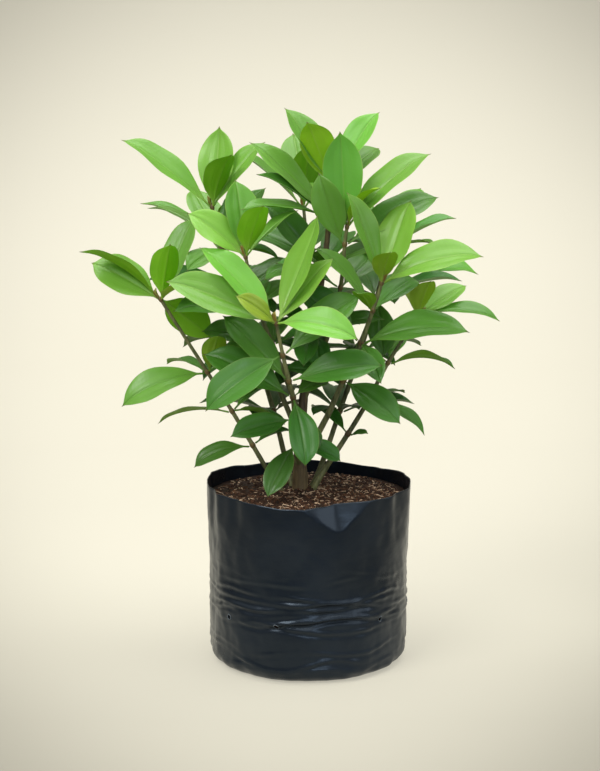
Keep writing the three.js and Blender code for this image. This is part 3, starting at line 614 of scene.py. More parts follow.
class Field:
    """A number or a vector with a value at every point, worked out by the sums made on it."""

    def __init__(self, tree, socket, vector=False):
        self.tree, self.socket, self.vector = tree, socket, vector

    def made(self, operation, *others, kind=None, vector=None):
        vector = self.vector if vector is None else vector
        kind = kind or ("ShaderNodeVectorMath" if self.vector else "ShaderNodeMath")
        node = self.tree.nodes.new(kind)
        node.operation = operation
        for slot, value in enumerate((self, *others)):
            if isinstance(value, Field):
                self.tree.links.new(value.socket, node.inputs[slot])
            else:
                node.inputs[slot].default_value = value
        return Field(self.tree, node.outputs["Vector" if vector else "Value"], vector)

    def __add__(self, other):
        return self.made("ADD", other)

    def __sub__(self, other):
        return self.made("SUBTRACT", other)

    def __mul__(self, other):
        if not self.vector:
            return self.made("MULTIPLY", other)
        node = self.tree.nodes.new("ShaderNodeVectorMath")
        node.operation = "SCALE"
        self.tree.links.new(self.socket, node.inputs["Vector"])
        if isinstance(other, Field):
            self.tree.links.new(other.socket, node.inputs["Scale"])
        else:
            node.inputs["Scale"].default_value = other
        return Field(self.tree, node.outputs["Vector"], True)

    def __truediv__(self, other):
        return self.made("DIVIDE", other)

    def __pow__(self, other):
        return self.made("POWER", other)

    def minus_from(self, whole):
        return self.made("MULTIPLY_ADD", -1.0, whole)

    def size(self):
        return self.made("ABSOLUTE")

    def wave(self):
        return self.made("SINE")

    def cosine(self):
        return self.made("COSINE")

    def cross(self, other):
        return self.made("CROSS_PRODUCT", other)

    def unit(self):
        return self.made("NORMALIZE")

    def step(self, low, high):
        """0 up to low, 1 from high on, and smooth between."""
        node = self.tree.nodes.new("ShaderNodeMapRange")
        node.interpolation_type = "SMOOTHSTEP"
        self.tree.links.new(self.socket, node.inputs["Value"])
        node.inputs["From Min"].default_value = low
        node.inputs["From Max"].default_value = high
        return Field(self.tree, node.outputs["Result"])

    def curve(self, points, smooth=True):
        """A curve through given points, for values from 0 to 1."""
        node = self.tree.nodes.new("ShaderNodeFloatCurve")
        line = node.mapping.curves[0].points
        line[0].location, line[1].location = points[0], points[-1]
        for point in points[1:-1]:
            line.new(*point)
        for point in line:
            point.handle_type = "AUTO_CLAMPED" if smooth else "VECTOR"
        node.mapping.update()
        self.tree.links.new(self.socket, node.inputs["Value"])
        return Field(self.tree, node.outputs["Value"])


class Tree:
    """A recipe for a shape, with named inputs, and the few steps that every recipe here takes."""

    def __init__(self, name, inputs):
        self.tree = bpy.data.node_groups.new(name, "GeometryNodeTree")
        sockets = self.tree.interface
        sockets.new_socket("Geometry", in_out="INPUT", socket_type="NodeSocketGeometry")
        sockets.new_socket("Geometry", in_out="OUTPUT", socket_type="NodeSocketGeometry")
        for label, kind in inputs.items():
            sockets.new_socket(label, in_out="INPUT", socket_type="NodeSocket" + kind)
        self.inputs = self.tree.nodes.new("NodeGroupInput")
        self.output = self.tree.nodes.new("NodeGroupOutput")

    def node(self, kind, settings=None, **links):
        """A node with its settings, and its inputs by name with _ for a space."""
        made = self.tree.nodes.new(kind)
        for label, value in (settings or {}).items():
            setattr(made, label, value)
        for label, value in links.items():
            self.join(value, made.inputs[label.replace("_", " ")])
        return made

    def join(self, value, socket):
        if isinstance(value, Field):
            self.tree.links.new(value.socket, socket)
        elif isinstance(value, bpy.types.NodeSocket):
            self.tree.links.new(value, socket)
        else:
            socket.default_value = value

    def given(self, label, vector=False):
        return Field(self.tree, self.inputs.outputs[label], vector)

    def attribute(self, name, vector=False):
        kind = "FLOAT_VECTOR" if vector else "FLOAT"
        node = self.node("GeometryNodeInputNamedAttribute", {"data_type": kind}, Name=name)
        return Field(self.tree, node.outputs["Attribute"], vector)

    def store(self, geometry, name, value, domain="POINT", kind="FLOAT"):
        node = self.node(
            "GeometryNodeStoreNamedAttribute", {"domain": domain, "data_type": kind},
            Geometry=geometry, Name=name,
        )
        self.join(value, node.inputs["Value"])
        return node.outputs["Geometry"]

    def chance(self, low, high, seed):
        """A random number for each point or instance."""
        node = self.node("FunctionNodeRandomValue", {"data_type": "FLOAT"})
        node.inputs[2].default_value, node.inputs[3].default_value = low, high
        node.inputs["Seed"].default_value = seed
        return Field(self.tree, node.outputs[1])

    def vector_of(self, x, y, z):
        return Field(self.tree, self.node("ShaderNodeCombineXYZ", X=x, Y=y, Z=z).outputs["Vector"], True)

    def coordinates(self):
        place = self.node("GeometryNodeInputPosition").outputs["Position"]
        parts = self.node("ShaderNodeSeparateXYZ", Vector=place)
        return [Field(self.tree, parts.outputs[axis]) for axis in "XYZ"]

    def finish(self, geometry):
        self.tree.links.new(geometry, self.output.inputs["Geometry"])
        return self.tree


def grown(name, source, tree, inputs):
    """The plain mesh that a tree makes of a source mesh, as a new object at the origin."""
    made = bpy.data.objects.new(name, source)
    bpy.context.collection.objects.link(made)
    modifier = made.modifiers.new("shape", "NODES")
    modifier.node_group = tree
    for item in tree.interface.items_tree:
        if item.in_out == "INPUT" and item.name in inputs:
            modifier[item.identifier] = inputs[item.name]
    seen = bpy.context.evaluated_depsgraph_get()
    made.data = bpy.data.meshes.new_from_object(made.evaluated_get(seen))
    made.modifiers.clear()
    return made


def bark_material(name, low, high, ridges):
    bark = bpy.data.materials.new(name)
    bark.use_nodes = True
    nodes, links = bark.node_tree.nodes, bark.node_tree.links
    shader = nodes["Principled BSDF"]
    shader.inputs["Roughness"].default_value = 0.62
    where = nodes.new("ShaderNodeTexCoord")
    stretch = nodes.new("ShaderNodeMapping")
    stretch.inputs["Scale"].default_value = (1, 1, 0.16)
    links.new(where.outputs["Object"], stretch.inputs["Vector"])
    grain = nodes.new("ShaderNodeTexNoise")
    grain.inputs["Scale"].default_value = 420
    grain.inputs["Detail"].default_value = 6
    links.new(stretch.outputs["Vector"], grain.inputs["Vector"])
    patch = nodes.new("ShaderNodeTexNoise")
    patch.inputs["Scale"].default_value = 38
    patch.inputs["Detail"].default_value = 3
    links.new(where.outputs["Object"], patch.inputs["Vector"])
    both = nodes.new("ShaderNodeMath")
    both.operation = "MULTIPLY_ADD"
    both.inputs[1].default_value = 0.5
    links.new(grain.outputs["Fac"], both.inputs[0])
    half = nodes.new("ShaderNodeMath")
    half.operation = "MULTIPLY"
    half.inputs[1].default_value = 0.5
    links.new(patch.outputs["Fac"], half.inputs[0])
    links.new(half.outputs["Value"], both.inputs[2])
    tone = nodes.new("ShaderNodeValToRGB")
    tone.color_ramp.elements[0].position = 0.36
    tone.color_ramp.elements[0].color = (*low, 1)
    tone.color_ramp.elements[1].position = 0.66
    tone.color_ramp.elements[1].color = (*high, 1)
    links.new(both.outputs["Value"], tone.inputs["Fac"])
    links.new(tone.outputs["Color"], shader.inputs["Base Color"])
    bump = nodes.new("ShaderNodeBump")
    bump.inputs["Strength"].default_value = 0.7
    bump.inputs["Distance"].default_value = ridges * MM
    links.new(grain.outputs["Fac"], bump.inputs["Height"])
    links.new(bump.outputs["Normal"], shader.inputs["Normal"])
    return bark


def wood_tree():
    """Round wood along every line of the source mesh, thick as its girth says, with an uneven skin."""
    tree = Tree("wood", {"Sides": "Int", "Step": "Float", "Ridges": "Float", "Wood": "Material"})
    line = tree.node("GeometryNodeMeshToCurve", Mesh=tree.inputs.outputs["Geometry"]).outputs["Curve"]
    line = tree.node("GeometryNodeCurveSplineType", {"spline_type": "CATMULL_ROM"}, Curve=line)
    line = line.outputs["Curve"]
    line = tree.node(
        "GeometryNodeResampleCurve", {"mode": "LENGTH"}, Curve=line, Length=tree.given("Step")
    ).outputs["Curve"]
    ring = tree.node("GeometryNodeCurvePrimitiveCircle", Resolution=tree.given("Sides"), Radius=1.0)
    wood = tree.node(
        "GeometryNodeCurveToMesh", Curve=line, Profile_Curve=ring.outputs["Curve"],
        Scale=tree.attribute("girth"), Fill_Caps=True,
    ).outputs["Mesh"]
    knots = tree.node("ShaderNodeTexNoise", Scale=90.0, Detail=2.0)
    normal = Field(tree.tree, tree.node("GeometryNodeInputNormal").outputs["Normal"], True)
    lumps = Field(tree.tree, knots.outputs["Fac"]) - 0.5
    wood = tree.node("GeometryNodeSetPosition", Geometry=wood, Offset=normal * (lumps * tree.given("Ridges")))
    wood = tree.node("GeometryNodeSetShadeSmooth", Geometry=wood.outputs["Geometry"])
    wood = tree.node("GeometryNodeRealizeInstances", Geometry=wood.outputs["Geometry"])
    wood = tree.node(
        "GeometryNodeSetMaterial", Geometry=wood.outputs["Geometry"], Material=tree.given("Wood")
    )
    return tree.finish(wood.outputs["Geometry"])


def lines_mesh(name, lines):
    """A mesh of open lines, each a list of points and of girths."""
    points, edges, girths = [], [], []
    for line, radii in lines:
        edges += [(len(points) + i, len(points) + i + 1) for i in range(len(line) - 1)]
        points += line
        girths += radii
    mesh = bpy.data.meshes.new(name)
    mesh.from_pydata(points, edges, [])
    mesh.attributes.new("girth", "FLOAT", "POINT").data.foreach_set("value", girths)
    return mesh


def root_line(heading, start, reach, end):
    """A root leaves the trunk level and turns down as it thins."""
    way = Vector((math.cos(math.radians(heading)), math.sin(math.radians(heading)), 0)) * MM
    centre = Vector(TRUNK_FOOT[0][0][:2] + [0]) * MM
    bends = ((0, start), (reach * 0.7, start - 6), (reach, end))
    corners = [centre + way * out + Vector((0, 0, z * MM)) for out, z in bends]
    points, radii = [], []
    for step in range(7):
        t = step / 6
        points.append(corners[0] * (1 - t) ** 2 + corners[1] * 2 * t * (1 - t) + corners[2] * t * t)
        radii.append((ROOT_RADIUS + (ROOT_TIP_RADIUS - ROOT_RADIUS) * t) * MM)
    return points, radii


WOOD = wood_tree()
BARK = bark_material("trunk_bark", (0.04, 0.025, 0.01), (0.18, 0.125, 0.052), 0.9)
YOUNG_WOOD = bark_material("young_wood", (0.045, 0.052, 0.015), (0.22, 0.22, 0.08), 0.4)


def wood_piece(name, lines, sides, ridges, material, node):
    """Wood along lines, with so many sides and ridges so many millimetres deep."""
    source = lines_mesh(name, lines)
    inputs = {"Sides": sides, "Step": WOOD_STEP, "Ridges": ridges * MM, "Wood": material}
    wood = grown(name, source, WOOD, inputs)
    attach(wood, "root")
    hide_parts(node)


trunk_lines = [line_of(SHOOTS[0]), *[root_line(*root) for root in ROOTS]]
wood_piece("trunk", trunk_lines, 20, 1.6, BARK, "trunk_and_roots")
for shoot in SHOOTS[1:]:
    label = shoot["name"]
    wood_piece(f"branch_{label}", [line_of(shoot)], 12, 0.5, YOUNG_WOOD, f"stem_{label}")


# ---------------------------------------------------------------- the potting mix
# Moist brown mix that fills the bag to a little under its mouth and mounds towards the stems.
# Its surface is crumbs, with flakes of bark and shreds of coir lying all over it.
MIX_LEVEL = 171 * MM
MIX_MOUND = 5 * MM
MIX_TURNS = 120  # facets round it
MIX_AREA = 0.032  # of the surface that bits lie on, in square metres
BED_RADIUS = 97 * MM  # how far out the bits lie
BED_THINNEST = 0.45  # of the full bed, on the left
BIT_TILT = 0.45  # how far a bit leans, in radians
CRUMBS, FLAKES, SHREDS = 1600, 1500, 800  # were the bed full all over


def mix_material():
    mix = bpy.data.materials.new("potting_mix")
    mix.use_nodes = True
    nodes, links = mix.node_tree.nodes, mix.node_tree.links
    shader = nodes["Principled BSDF"]
    shader.inputs["Roughness"].default_value = 0.72
    shader.inputs["Specular IOR Level"].default_value = 0.35
    tone = nodes.new("ShaderNodeAttribute")
    tone.attribute_name = "tone"
    spots = nodes.new("ShaderNodeTexNoise")
    spots.inputs["Scale"].default_value = 700
    spots.inputs["Detail"].default_value = 3
    links.new(nodes.new("ShaderNodeTexCoord").outputs["Object"], spots.inputs["Vector"])
    both = nodes.new("ShaderNodeMath")
    both.operation = "MULTIPLY_ADD"
    links.new(spots.outputs["Fac"], both.inputs[0])
    both.inputs[1].default_value = 0.24
    links.new(tone.outputs["Fac"], both.inputs[2])
    shades = nodes.new("ShaderNodeValToRGB")
    elements = shades.color_ramp.elements
    elements[0].position, elements[0].color = 0.1, (0.009, 0.004, 0.0016, 1)
    elements[1].position, elements[1].color = 1.0, (0.6, 0.42, 0.28, 1)
    for position, colour in ((0.4, (0.044, 0.014, 0.004, 1)), (0.7, (0.13, 0.054, 0.023, 1))):
        elements.new(position).color = colour
    links.new(both.outputs["Value"], shades.inputs["Fac"])
    links.new(shades.outputs["Color"], shader.inputs["Base Color"])
    return mix


def mix_mesh():
    """The mix as one closed body, from the middle of its foot up the film to its mounded top."""
    foot = FILM + 0.4 * MM
    wall_rows = 24
    rows = [(share, foot, 0.0) for share in (0, 0.3, 0.6, 0.85)]
    for step in range(wall_rows + 1):
        rows.append((1.0, foot + (MIX_LEVEL - foot) * (step / wall_rows) ** 1.3, 1.0))
    rows += [(share / 40, MIX_LEVEL, 0.0) for share in range(39, -1, -1)]
    points, faces, rings = [], [], []
    for share, height, on_wall in rows:
        ring = []
        for turn in range(1 if share == 0 else MIX_TURNS):
            heading = math.tau * turn / MIX_TURNS
            slack = 3.6 * MM - 2.8 * MM * smooth(150 * MM, 168 * MM, height)
            edge = BAG_RADIUS + bag_wall(heading, height) - FILM - slack
            if height < 15 * MM:
                edge = min(edge, FOOT_RADIUS - 1 * MM + height)
            x, y = math.cos(heading) * edge * share, math.sin(heading) * edge * share
            top = 0.0
            if not on_wall and height == MIX_LEVEL:
                crumbs = noise.noise(Vector((x, y, 0)) * 160) * 1.5
                crumbs += noise.noise(Vector((x, y, 0.2)) * 45) * 1.6
                top = MIX_MOUND * (1 - share) * 1.1 + crumbs * MM * smooth(0, 0.12, 1 - share)
            ring.append(len(points))
            points.append((x, y, height + top))
        rings.append(ring)
    for lower, upper in zip(rings, rings[1:]):
        for turn in range(MIX_TURNS):
            after = (turn + 1) % MIX_TURNS
            if len(lower) == 1:
                faces.append((lower[0], upper[after], upper[turn]))
            elif len(upper) == 1:
                faces.append((lower[turn], lower[after], upper[0]))
            else:
                faces.append((lower[turn], lower[after], upper[after], upper[turn]))
    mesh = bpy.data.meshes.new("potting_mix")
    mesh.from_pydata(points, [], faces)
    # Bits settle only on top, and clear of the film.
    bed = mesh.attributes.new("bed", "FLOAT", "FACE")
    for face in mesh.polygons:
        clear = face.normal.z > 0.5 and face.center.z > MIX_LEVEL - 2 * MM
        thick = BED_THINNEST + (1 - BED_THINNEST) * smooth(-65 * MM, -15 * MM, face.center.x)
        bed.data[face.index].value = thick if clear and face.center.xy.length < BED_RADIUS else 0.0
    return mesh


def mix_tree():
    """The mix with bits lying on its bed: round crumbs, bowed flakes and crooked shreds."""
    tree = Tree("potting_mix", {"Crumbs": "Int", "Flakes": "Int", "Shreds": "Int", "Mix": "Material"})
    body = tree.store(tree.inputs.outputs["Geometry"], "tone", 0.12)
    joined = tree.node("GeometryNodeJoinGeometry")
    tree.join(body, joined.inputs["Geometry"])
    lump = tree.node("GeometryNodeMeshIcoSphere", Radius=1.0, Subdivisions=2).outputs["Mesh"]
    jitter = tree.node("ShaderNodeTexNoise", Scale=1.4, Detail=1.0)
    normal = Field(tree.tree, tree.node("GeometryNodeInputNormal").outputs["Normal"], True)
    uneven = normal * ((Field(tree.tree, jitter.outputs["Fac"]) - 0.5) * 1.5)
    lump = tree.node("GeometryNodeSetPosition", Geometry=lump, Offset=uneven).outputs["Geometry"]
    flake = tree.node("GeometryNodeMeshCube", Size=(2.0, 0.9, 0.3), Vertices_X=3, Vertices_Y=2, Vertices_Z=2)
    x, y, z = tree.coordinates()
    bowed = tree.vector_of(x, y * ((x * x * 0.5).minus_from(1.0)), z + x * x * 0.22)
    flake = tree.node("GeometryNodeSetPosition", Geometry=flake.outputs["Mesh"], Position=bowed)
    flake = flake.outputs["Geometry"]
    line = tree.node(
        "GeometryNodeCurvePrimitiveBezierSegment", Resolution=6, Start=(-1.0, 0.0, 0.0),
        Start_Handle=(-0.4, 0.5, 0.2), End_Handle=(0.3, -0.5, 0.3), End=(1.0, 0.1, 0.1),
    ).outputs["Curve"]
    ring = tree.node("GeometryNodeCurvePrimitiveCircle", Resolution=4, Radius=0.1).outputs["Curve"]
    shred = tree.node(
        "GeometryNodeCurveToMesh", Curve=line, Profile_Curve=ring, Scale=1.0, Fill_Caps=True
    ).outputs["Mesh"]
    # Each kind of bit: its shape, how many, its sizes in millimetres, its tones, and its seed.
    kinds = (
        (lump, "Crumbs", (0.8, 2.3), (0.04, 0.42), 1), (flake, "Flakes", (0.7, 2.3), (0.35, 1.0), 2),
        (shred, "Shreds", (1.8, 4.8), (0.4, 1.0), 3),
    )
    for shape, label, (small, large), (dark, pale), seed in kinds:
        spread = tree.node(
            "GeometryNodeDistributePointsOnFaces", Mesh=tree.inputs.outputs["Geometry"], Seed=seed,
            Density=tree.attribute("bed") * (tree.given(label) / MIX_AREA),
        )
        turned = tree.node("FunctionNodeRandomValue", {"data_type": "FLOAT_VECTOR"}, Seed=seed + 10)
        turned.inputs[0].default_value = (-BIT_TILT, -BIT_TILT, 0.0)
        turned.inputs[1].default_value = (BIT_TILT, BIT_TILT, math.tau)
        upright = tree.node("FunctionNodeEulerToRotation", Euler=turned.outputs[0]).outputs["Rotation"]
        bits = tree.node(
            "GeometryNodeInstanceOnPoints", Points=spread.outputs["Points"], Instance=shape, Rotation=upright,
            Scale=tree.chance(small * MM, large * MM, seed + 20),
        ).outputs["Instances"]
        bits = tree.store(bits, "tone", tree.chance(dark, pale, seed + 30), domain="INSTANCE")
        tree.join(bits, joined.inputs["Geometry"])
    whole = tree.node("GeometryNodeRealizeInstances", Geometry=joined.outputs["Geometry"])
    whole = tree.node(
        "GeometryNodeSetMaterial", Geometry=whole.outputs["Geometry"], Material=tree.given("Mix")
    )
    return tree.finish(whole.outputs["Geometry"])


mix_bits = {"Crumbs": CRUMBS, "Flakes": FLAKES, "Shreds": SHREDS, "Mix": mix_material()}
mix = grown("mix_and_bark_bits", mix_mesh(), mix_tree(), mix_bits)
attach(mix, "root")
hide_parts("potting_mix")


# ---------------------------------------------------------------- the leaves
# Thick glossy blades in pairs and whorls, each on a short stalk from a swollen ring round the
# stem. Three veins run from stalk to tip, the tip draws out into a hooked point, and a pale
# margin edges the blade. The newest are yellow-green, and each shoot ends in a bronze bud.
HUB_WALL = 0.7 * MM
STALK_SINK = 0.9 * MM
BLADE_STATIONS = 24
BLADE_COLUMNS = 14
# The blade's half width from stalk to tip, as a share of its widest.
BLADE_OUTLINE = [
    (0, 0), (0.01, 0.055), (0.065, 0.06), (0.12, 0.17), (0.2, 0.42), (0.32, 0.75), (0.46, 0.95), (0.59, 1.0),
    (0.71, 0.94), (0.82, 0.73), (0.9, 0.44), (0.945, 0.19), (0.972, 0.06), (1, 0),
]
# Where the columns of the blade lie from its midrib to its margin: close at both.
BLADE_COLUMN_PLACES = [
    (0, 0), (1 / 7, 0.06), (2 / 7, 0.24), (3 / 7, 0.42), (4 / 7, 0.6), (5 / 7, 0.8), (6 / 7, 0.95), (1, 1),
]
SIDE_VEIN = 0.42
# The blade swells between its veins, from its midrib to its margin.
PLEATS = [(0, 0), (0.22, 1), (0.42, 0.15), (0.68, 0.8), (1, 0.1)]


def leaf_tree():
    tree = Tree("leaf_whorl", {
        "Thickness": "Float", "Stalk thickness": "Float", "Margin lift": "Float", "Ripple": "Float",
        "Pleats": "Float", "Joint place": "Vector", "Joint way": "Vector", "Joint radius": "Float",
        "Leaf": "Material", "Joint": "Material",
    })
    grid = tree.node(
        "GeometryNodeMeshGrid", Size_X=1.0, Size_Y=2.0,
        Vertices_X=BLADE_STATIONS + 1, Vertices_Y=BLADE_COLUMNS + 1,
    )
    x, y, _ = tree.coordinates()
    closer_at_ends = ((x + 0.5) * math.tau).wave() * -0.085
    skin = tree.store(grid.outputs["Mesh"], "along", x + 0.5 + closer_at_ends)
    skin = tree.store(skin, "across", y)
    upper = tree.store(skin, "under", 0.0)
    lower = tree.store(tree.node("GeometryNodeFlipFaces", Mesh=skin).outputs["Mesh"], "under", 1.0)
    blade = tree.node("GeometryNodeJoinGeometry")
    tree.join(upper, blade.inputs["Geometry"])
    tree.join(lower, blade.inputs["Geometry"])
    leaves = tree.node(
        "GeometryNodeInstanceOnPoints", Points=tree.inputs.outputs["Geometry"],
        Instance=blade.outputs["Geometry"],
    )
    leaves = tree.node("GeometryNodeRealizeInstances", Geometry=leaves.outputs["Instances"])
    leaves = leaves.outputs["Geometry"]

    u, v, under = tree.attribute("along"), tree.attribute("across"), tree.attribute("under")
    stalk, chord = tree.attribute("stalk", True), tree.attribute("chord", True)
    side, reach = tree.attribute("side", True), tree.attribute("reach")
    arch, widest = tree.attribute("arch"), tree.attribute("widest")
    luck = tree.attribute("luck")
    # Each column's place, and the half width of the blade at each station.
    off = v.size().curve(BLADE_COLUMN_PLACES, smooth=False)
    sign = v.made("SIGN")
    half = u.curve(BLADE_OUTLINE) * widest
    face = chord.cross(side)
    slope = (chord + face * ((arch / reach) * (u * -2.0 + 1.0))).unit()
    normal = slope.cross(side)
    twist = (u - 0.4) * (luck - 0.5) * 0.7
    across = side * twist.cosine() + normal * twist.wave()
    up = normal * twist.cosine() - side * twist.wave()
    hook = (u.step(0.8, 1.15) * reach) * (arch.made("SIGN") * -0.055)
    line = stalk + chord * (u * reach) + face * (u * (u * -1.0 + 1.0) * arch + hook)
    lift = (off ** 1.5) * half * tree.given("Margin lift") * (luck * 0.7 + 0.65)
    ripple = (u * 13.0 + luck * 40.0 + sign * 0.8).wave() * (off ** 2.0) * half * tree.given("Ripple")
    # The midrib and the two side veins lie in grooves above, and stand proud below.
    open_blade = u.step(0.06, 0.3) * u.step(0.78, 1.0).minus_from(1.0)
    rib = off.step(0.0, 0.13).minus_from(1.0) * u.step(0.06, 0.2)
    relief = rib * 0.00035 - off.curve(PLEATS) * open_blade * tree.given("Pleats")
    round_stalk = u.step(0.05, 0.17).minus_from(1.0)
    depth = tree.given("Thickness") + round_stalk * tree.given("Stalk thickness")
    pinch = u.step(0.0, 0.015) * u.step(0.965, 1.0).minus_from(1.0)
    lens = ((off ** 4.0) * -1.0 + 1.0) * depth * pinch * 0.5
    level = lens * (under * -2.0 + 1.0) - relief * pinch
    point = line + across * (sign * off * half) + up * (lift + ripple + level)
    leaves = tree.node("GeometryNodeSetPosition", Geometry=leaves, Position=point).outputs["Geometry"]
    leaves = tree.store(leaves, "across", sign * off)
    leaves = tree.store(leaves, "span", half)
    leaves = tree.node("GeometryNodeMergeByDistance", Geometry=leaves, Distance=0.00001).outputs["Geometry"]
    leaves = tree.node("GeometryNodeSetShadeSmooth", Geometry=leaves).outputs["Geometry"]
    margin = tree.attribute("across").size().made("GREATER_THAN", 0.9995)
    leaves = tree.store(leaves, "sharp_edge", margin, domain="EDGE", kind="BOOLEAN")
    leaves = tree.node("GeometryNodeSetMaterial", Geometry=leaves, Material=tree.given("Leaf"))
    leaves = leaves.outputs["Geometry"]

    ring = tree.node("GeometryNodeMeshUVSphere", Segments=14, Rings=9, Radius=1.0).outputs["Mesh"]
    turn = tree.node("FunctionNodeAlignRotationToVector", {"axis": "Z"}, Vector=tree.given("Joint way", True))
    size = tree.given("Joint radius")
    ring = tree.node(
        "GeometryNodeTransform", Geometry=ring, Translation=tree.given("Joint place", True),
        Rotation=turn.outputs["Rotation"], Scale=tree.vector_of(size, size, size * 1.5),
    ).outputs["Geometry"]
    ring = tree.node("GeometryNodeSetShadeSmooth", Geometry=ring).outputs["Geometry"]
    ring = tree.node("GeometryNodeSetMaterial", Geometry=ring, Material=tree.given("Joint"))
    ring = ring.outputs["Geometry"]
    whorl = tree.node("GeometryNodeJoinGeometry")
    tree.join(leaves, whorl.inputs["Geometry"])
    tree.join(ring, whorl.inputs["Geometry"])
    return tree.finish(whorl.outputs["Geometry"])


def vein_group():
    """Where a leaf's veins, margin and brown tip are, and how its skin rises over them."""
    group = bpy.data.node_groups.new("leaf_veins", "ShaderNodeTree")
    for label in ("Veins", "Margin", "Tip", "Height"):
        group.interface.new_socket(label, in_out="OUTPUT", socket_type="NodeSocketFloat")
    out = group.nodes.new("NodeGroupOutput")

    def read(name):
        node = group.nodes.new("ShaderNodeAttribute")
        node.attribute_name = name
        return Field(group, node.outputs["Fac"])

    along, across, span = read("along"), read("across"), read("span")
    off = across.size()
    midrib = (off * span).step(0.0002, 0.0012).minus_from(1.0)
    fade = along.step(0.02, 0.15) * along.step(0.82, 0.97).minus_from(1.0)
    side_vein = (off - SIDE_VEIN).size().step(0.0, 0.06).minus_from(1.0) * fade
    rungs = (along * 150.0 + off * 9.0).wave() * off.step(0.04, 0.12) * off.step(0.9, 0.98).minus_from(1.0)
    veins = midrib + side_vein * 0.15 + rungs.step(0.6, 1.0) * 0.06
    margin = ((off.minus_from(1.0)) * span).step(0.0001, 0.0008).minus_from(1.0) * along.step(0.1, 0.2)
    height = midrib * -0.7 - side_vein * 0.5 + rungs * 0.12
    tip = along.step(0.95, 0.995)
    for value, label in ((veins, "Veins"), (margin, "Margin"), (tip, "Tip"), (height, "Height")):
        group.links.new(value.socket, out.inputs[label])
    return group


VEINS = vein_group()


def leaf_material(name, uppers, unders_and_glow, pale):
    """A leaf's skin: its colour above and beneath by age, with pale veins and margin and a brown tip. The
    colour beneath is its own paler green brightened with painted light, for light shining through.
    """
    leaf = bpy.data.materials.new(name)
    leaf.use_nodes = True
    tree = leaf.node_tree
    nodes, links = tree.nodes, tree.links
    shader = nodes["Principled BSDF"]
    shader.inputs["Specular IOR Level"].default_value = 0.5
    shader.inputs["Coat Weight"].default_value = 0.12
    shader.inputs["Coat Roughness"].default_value = 0.3

    def read(label):
        node = nodes.new("ShaderNodeAttribute")
        node.attribute_name = label
        return node.outputs["Fac"]

    def ramp(source, stops):
        node = nodes.new("ShaderNodeValToRGB")
        elements = node.color_ramp.elements
        while len(elements) < len(stops):
            elements.new(0.5)
        for element, (position, colour) in zip(elements, stops):
            element.position, element.color = position, (*colour, 1)
        links.new(source, node.inputs["Fac"])
        return node.outputs["Color"]

    def blend(share, first, second, mode="MIX"):
        node = nodes.new("ShaderNodeMix")
        node.data_type, node.blend_type = "RGBA", mode
        if isinstance(share, float):
            node.inputs["Factor"].default_value = share
        else:
            links.new(share, node.inputs["Factor"])
        for socket, value in ((node.inputs[6], first), (node.inputs[7], second)):
            if isinstance(value, tuple):
                socket.default_value = (*value, 1)
            else:
                links.new(value, socket)
        return node.outputs[2]

    def ranged(source, low, high, start=0.0, end=1.0):
        node = nodes.new("ShaderNodeMapRange")
        for label, value in (("From Min", start), ("From Max", end), ("To Min", low), ("To Max", high)):
            node.inputs[label].default_value = value
        links.new(source, node.inputs["Value"])
        return node.outputs["Result"]

    def times(first, factor):
        node = nodes.new("ShaderNodeMath")
        node.operation = "MULTIPLY"
        links.new(first, node.inputs[0])
        node.inputs[1].default_value = factor
        return node.outputs["Value"]

    where = nodes.new("ShaderNodeTexCoord")
    mottle = nodes.new("ShaderNodeTexNoise")
    mottle.inputs["Scale"].default_value = 55
    mottle.inputs["Detail"].default_value = 4
    links.new(where.outputs["Object"], mottle.inputs["Vector"])
    veins = nodes.new("ShaderNodeGroup")
    veins.node_tree = VEINS
    under = read("under")
    # The colour beneath is partly painted light: a painted glow of light shining through.
    colour = blend(under, ramp(read("age"), uppers), ramp(read("age"), unders_and_glow))
    # Leaves differ a little, and so do the patches of one leaf.
    luck = nodes.new("ShaderNodeHueSaturation")
    links.new(ranged(read("luck"), 0.485, 0.512), luck.inputs["Hue"])
    links.new(ranged(read("tone"), 0.8, 1.22), luck.inputs["Value"])
    links.new(colour, luck.inputs["Color"])
    patches = ranged(mottle.outputs["Fac"], 0.0, 0.3, 0.45, 0.75)
    colour = blend(patches, luck.outputs["Color"], (0.9, 1.0, 0.35), "MULTIPLY")
    # The blade yellows towards its stalk.
    colour = blend(ranged(read("along"), 0.4, 0.0, 0.02, 0.3), colour, pale)
    colour = blend(times(veins.outputs["Veins"], 0.2), colour, pale)
    colour = blend(times(veins.outputs["Margin"], 0.7), colour, pale)
    colour = blend(times(veins.outputs["Tip"], 0.85), colour, (0.13, 0.055, 0.02))
    links.new(colour, shader.inputs["Base Color"])
    rough = nodes.new("ShaderNodeMath")
    rough.operation = "MULTIPLY_ADD"
    links.new(under, rough.inputs[0])
    rough.inputs[1].default_value = 0.17
    links.new(ranged(mottle.outputs["Fac"], 0.3, 0.44, 0.3, 0.7), rough.inputs[2])
    links.new(rough.outputs["Value"], shader.inputs["Roughness"])
    bump = nodes.new("ShaderNodeBump")
    bump.inputs["Strength"].default_value = 0.5
    bump.inputs["Distance"].default_value = 0.35 * MM
    links.new(veins.outputs["Height"], bump.inputs["Height"])
    links.new(bump.outputs["Normal"], shader.inputs["Normal"])
    glow = nodes.new("ShaderNodeBsdfTranslucent")
    through = blend(1.0, colour, (1.0, 1.0, 0.35), "MULTIPLY")
    links.new(blend(ranged(read("age"), 0.05, 0.4), through, (0.42, 0.75, 0.02)), glow.inputs["Color"])
    mixed = nodes.new("ShaderNodeMixShader")
    mixed.inputs["Fac"].default_value = 0.4
    links.new(shader.outputs["BSDF"], mixed.inputs[1])
    links.new(glow.outputs["BSDF"], mixed.inputs[2])
    links.new(mixed.outputs["Shader"], nodes["Material Output"].inputs["Surface"])
    return leaf


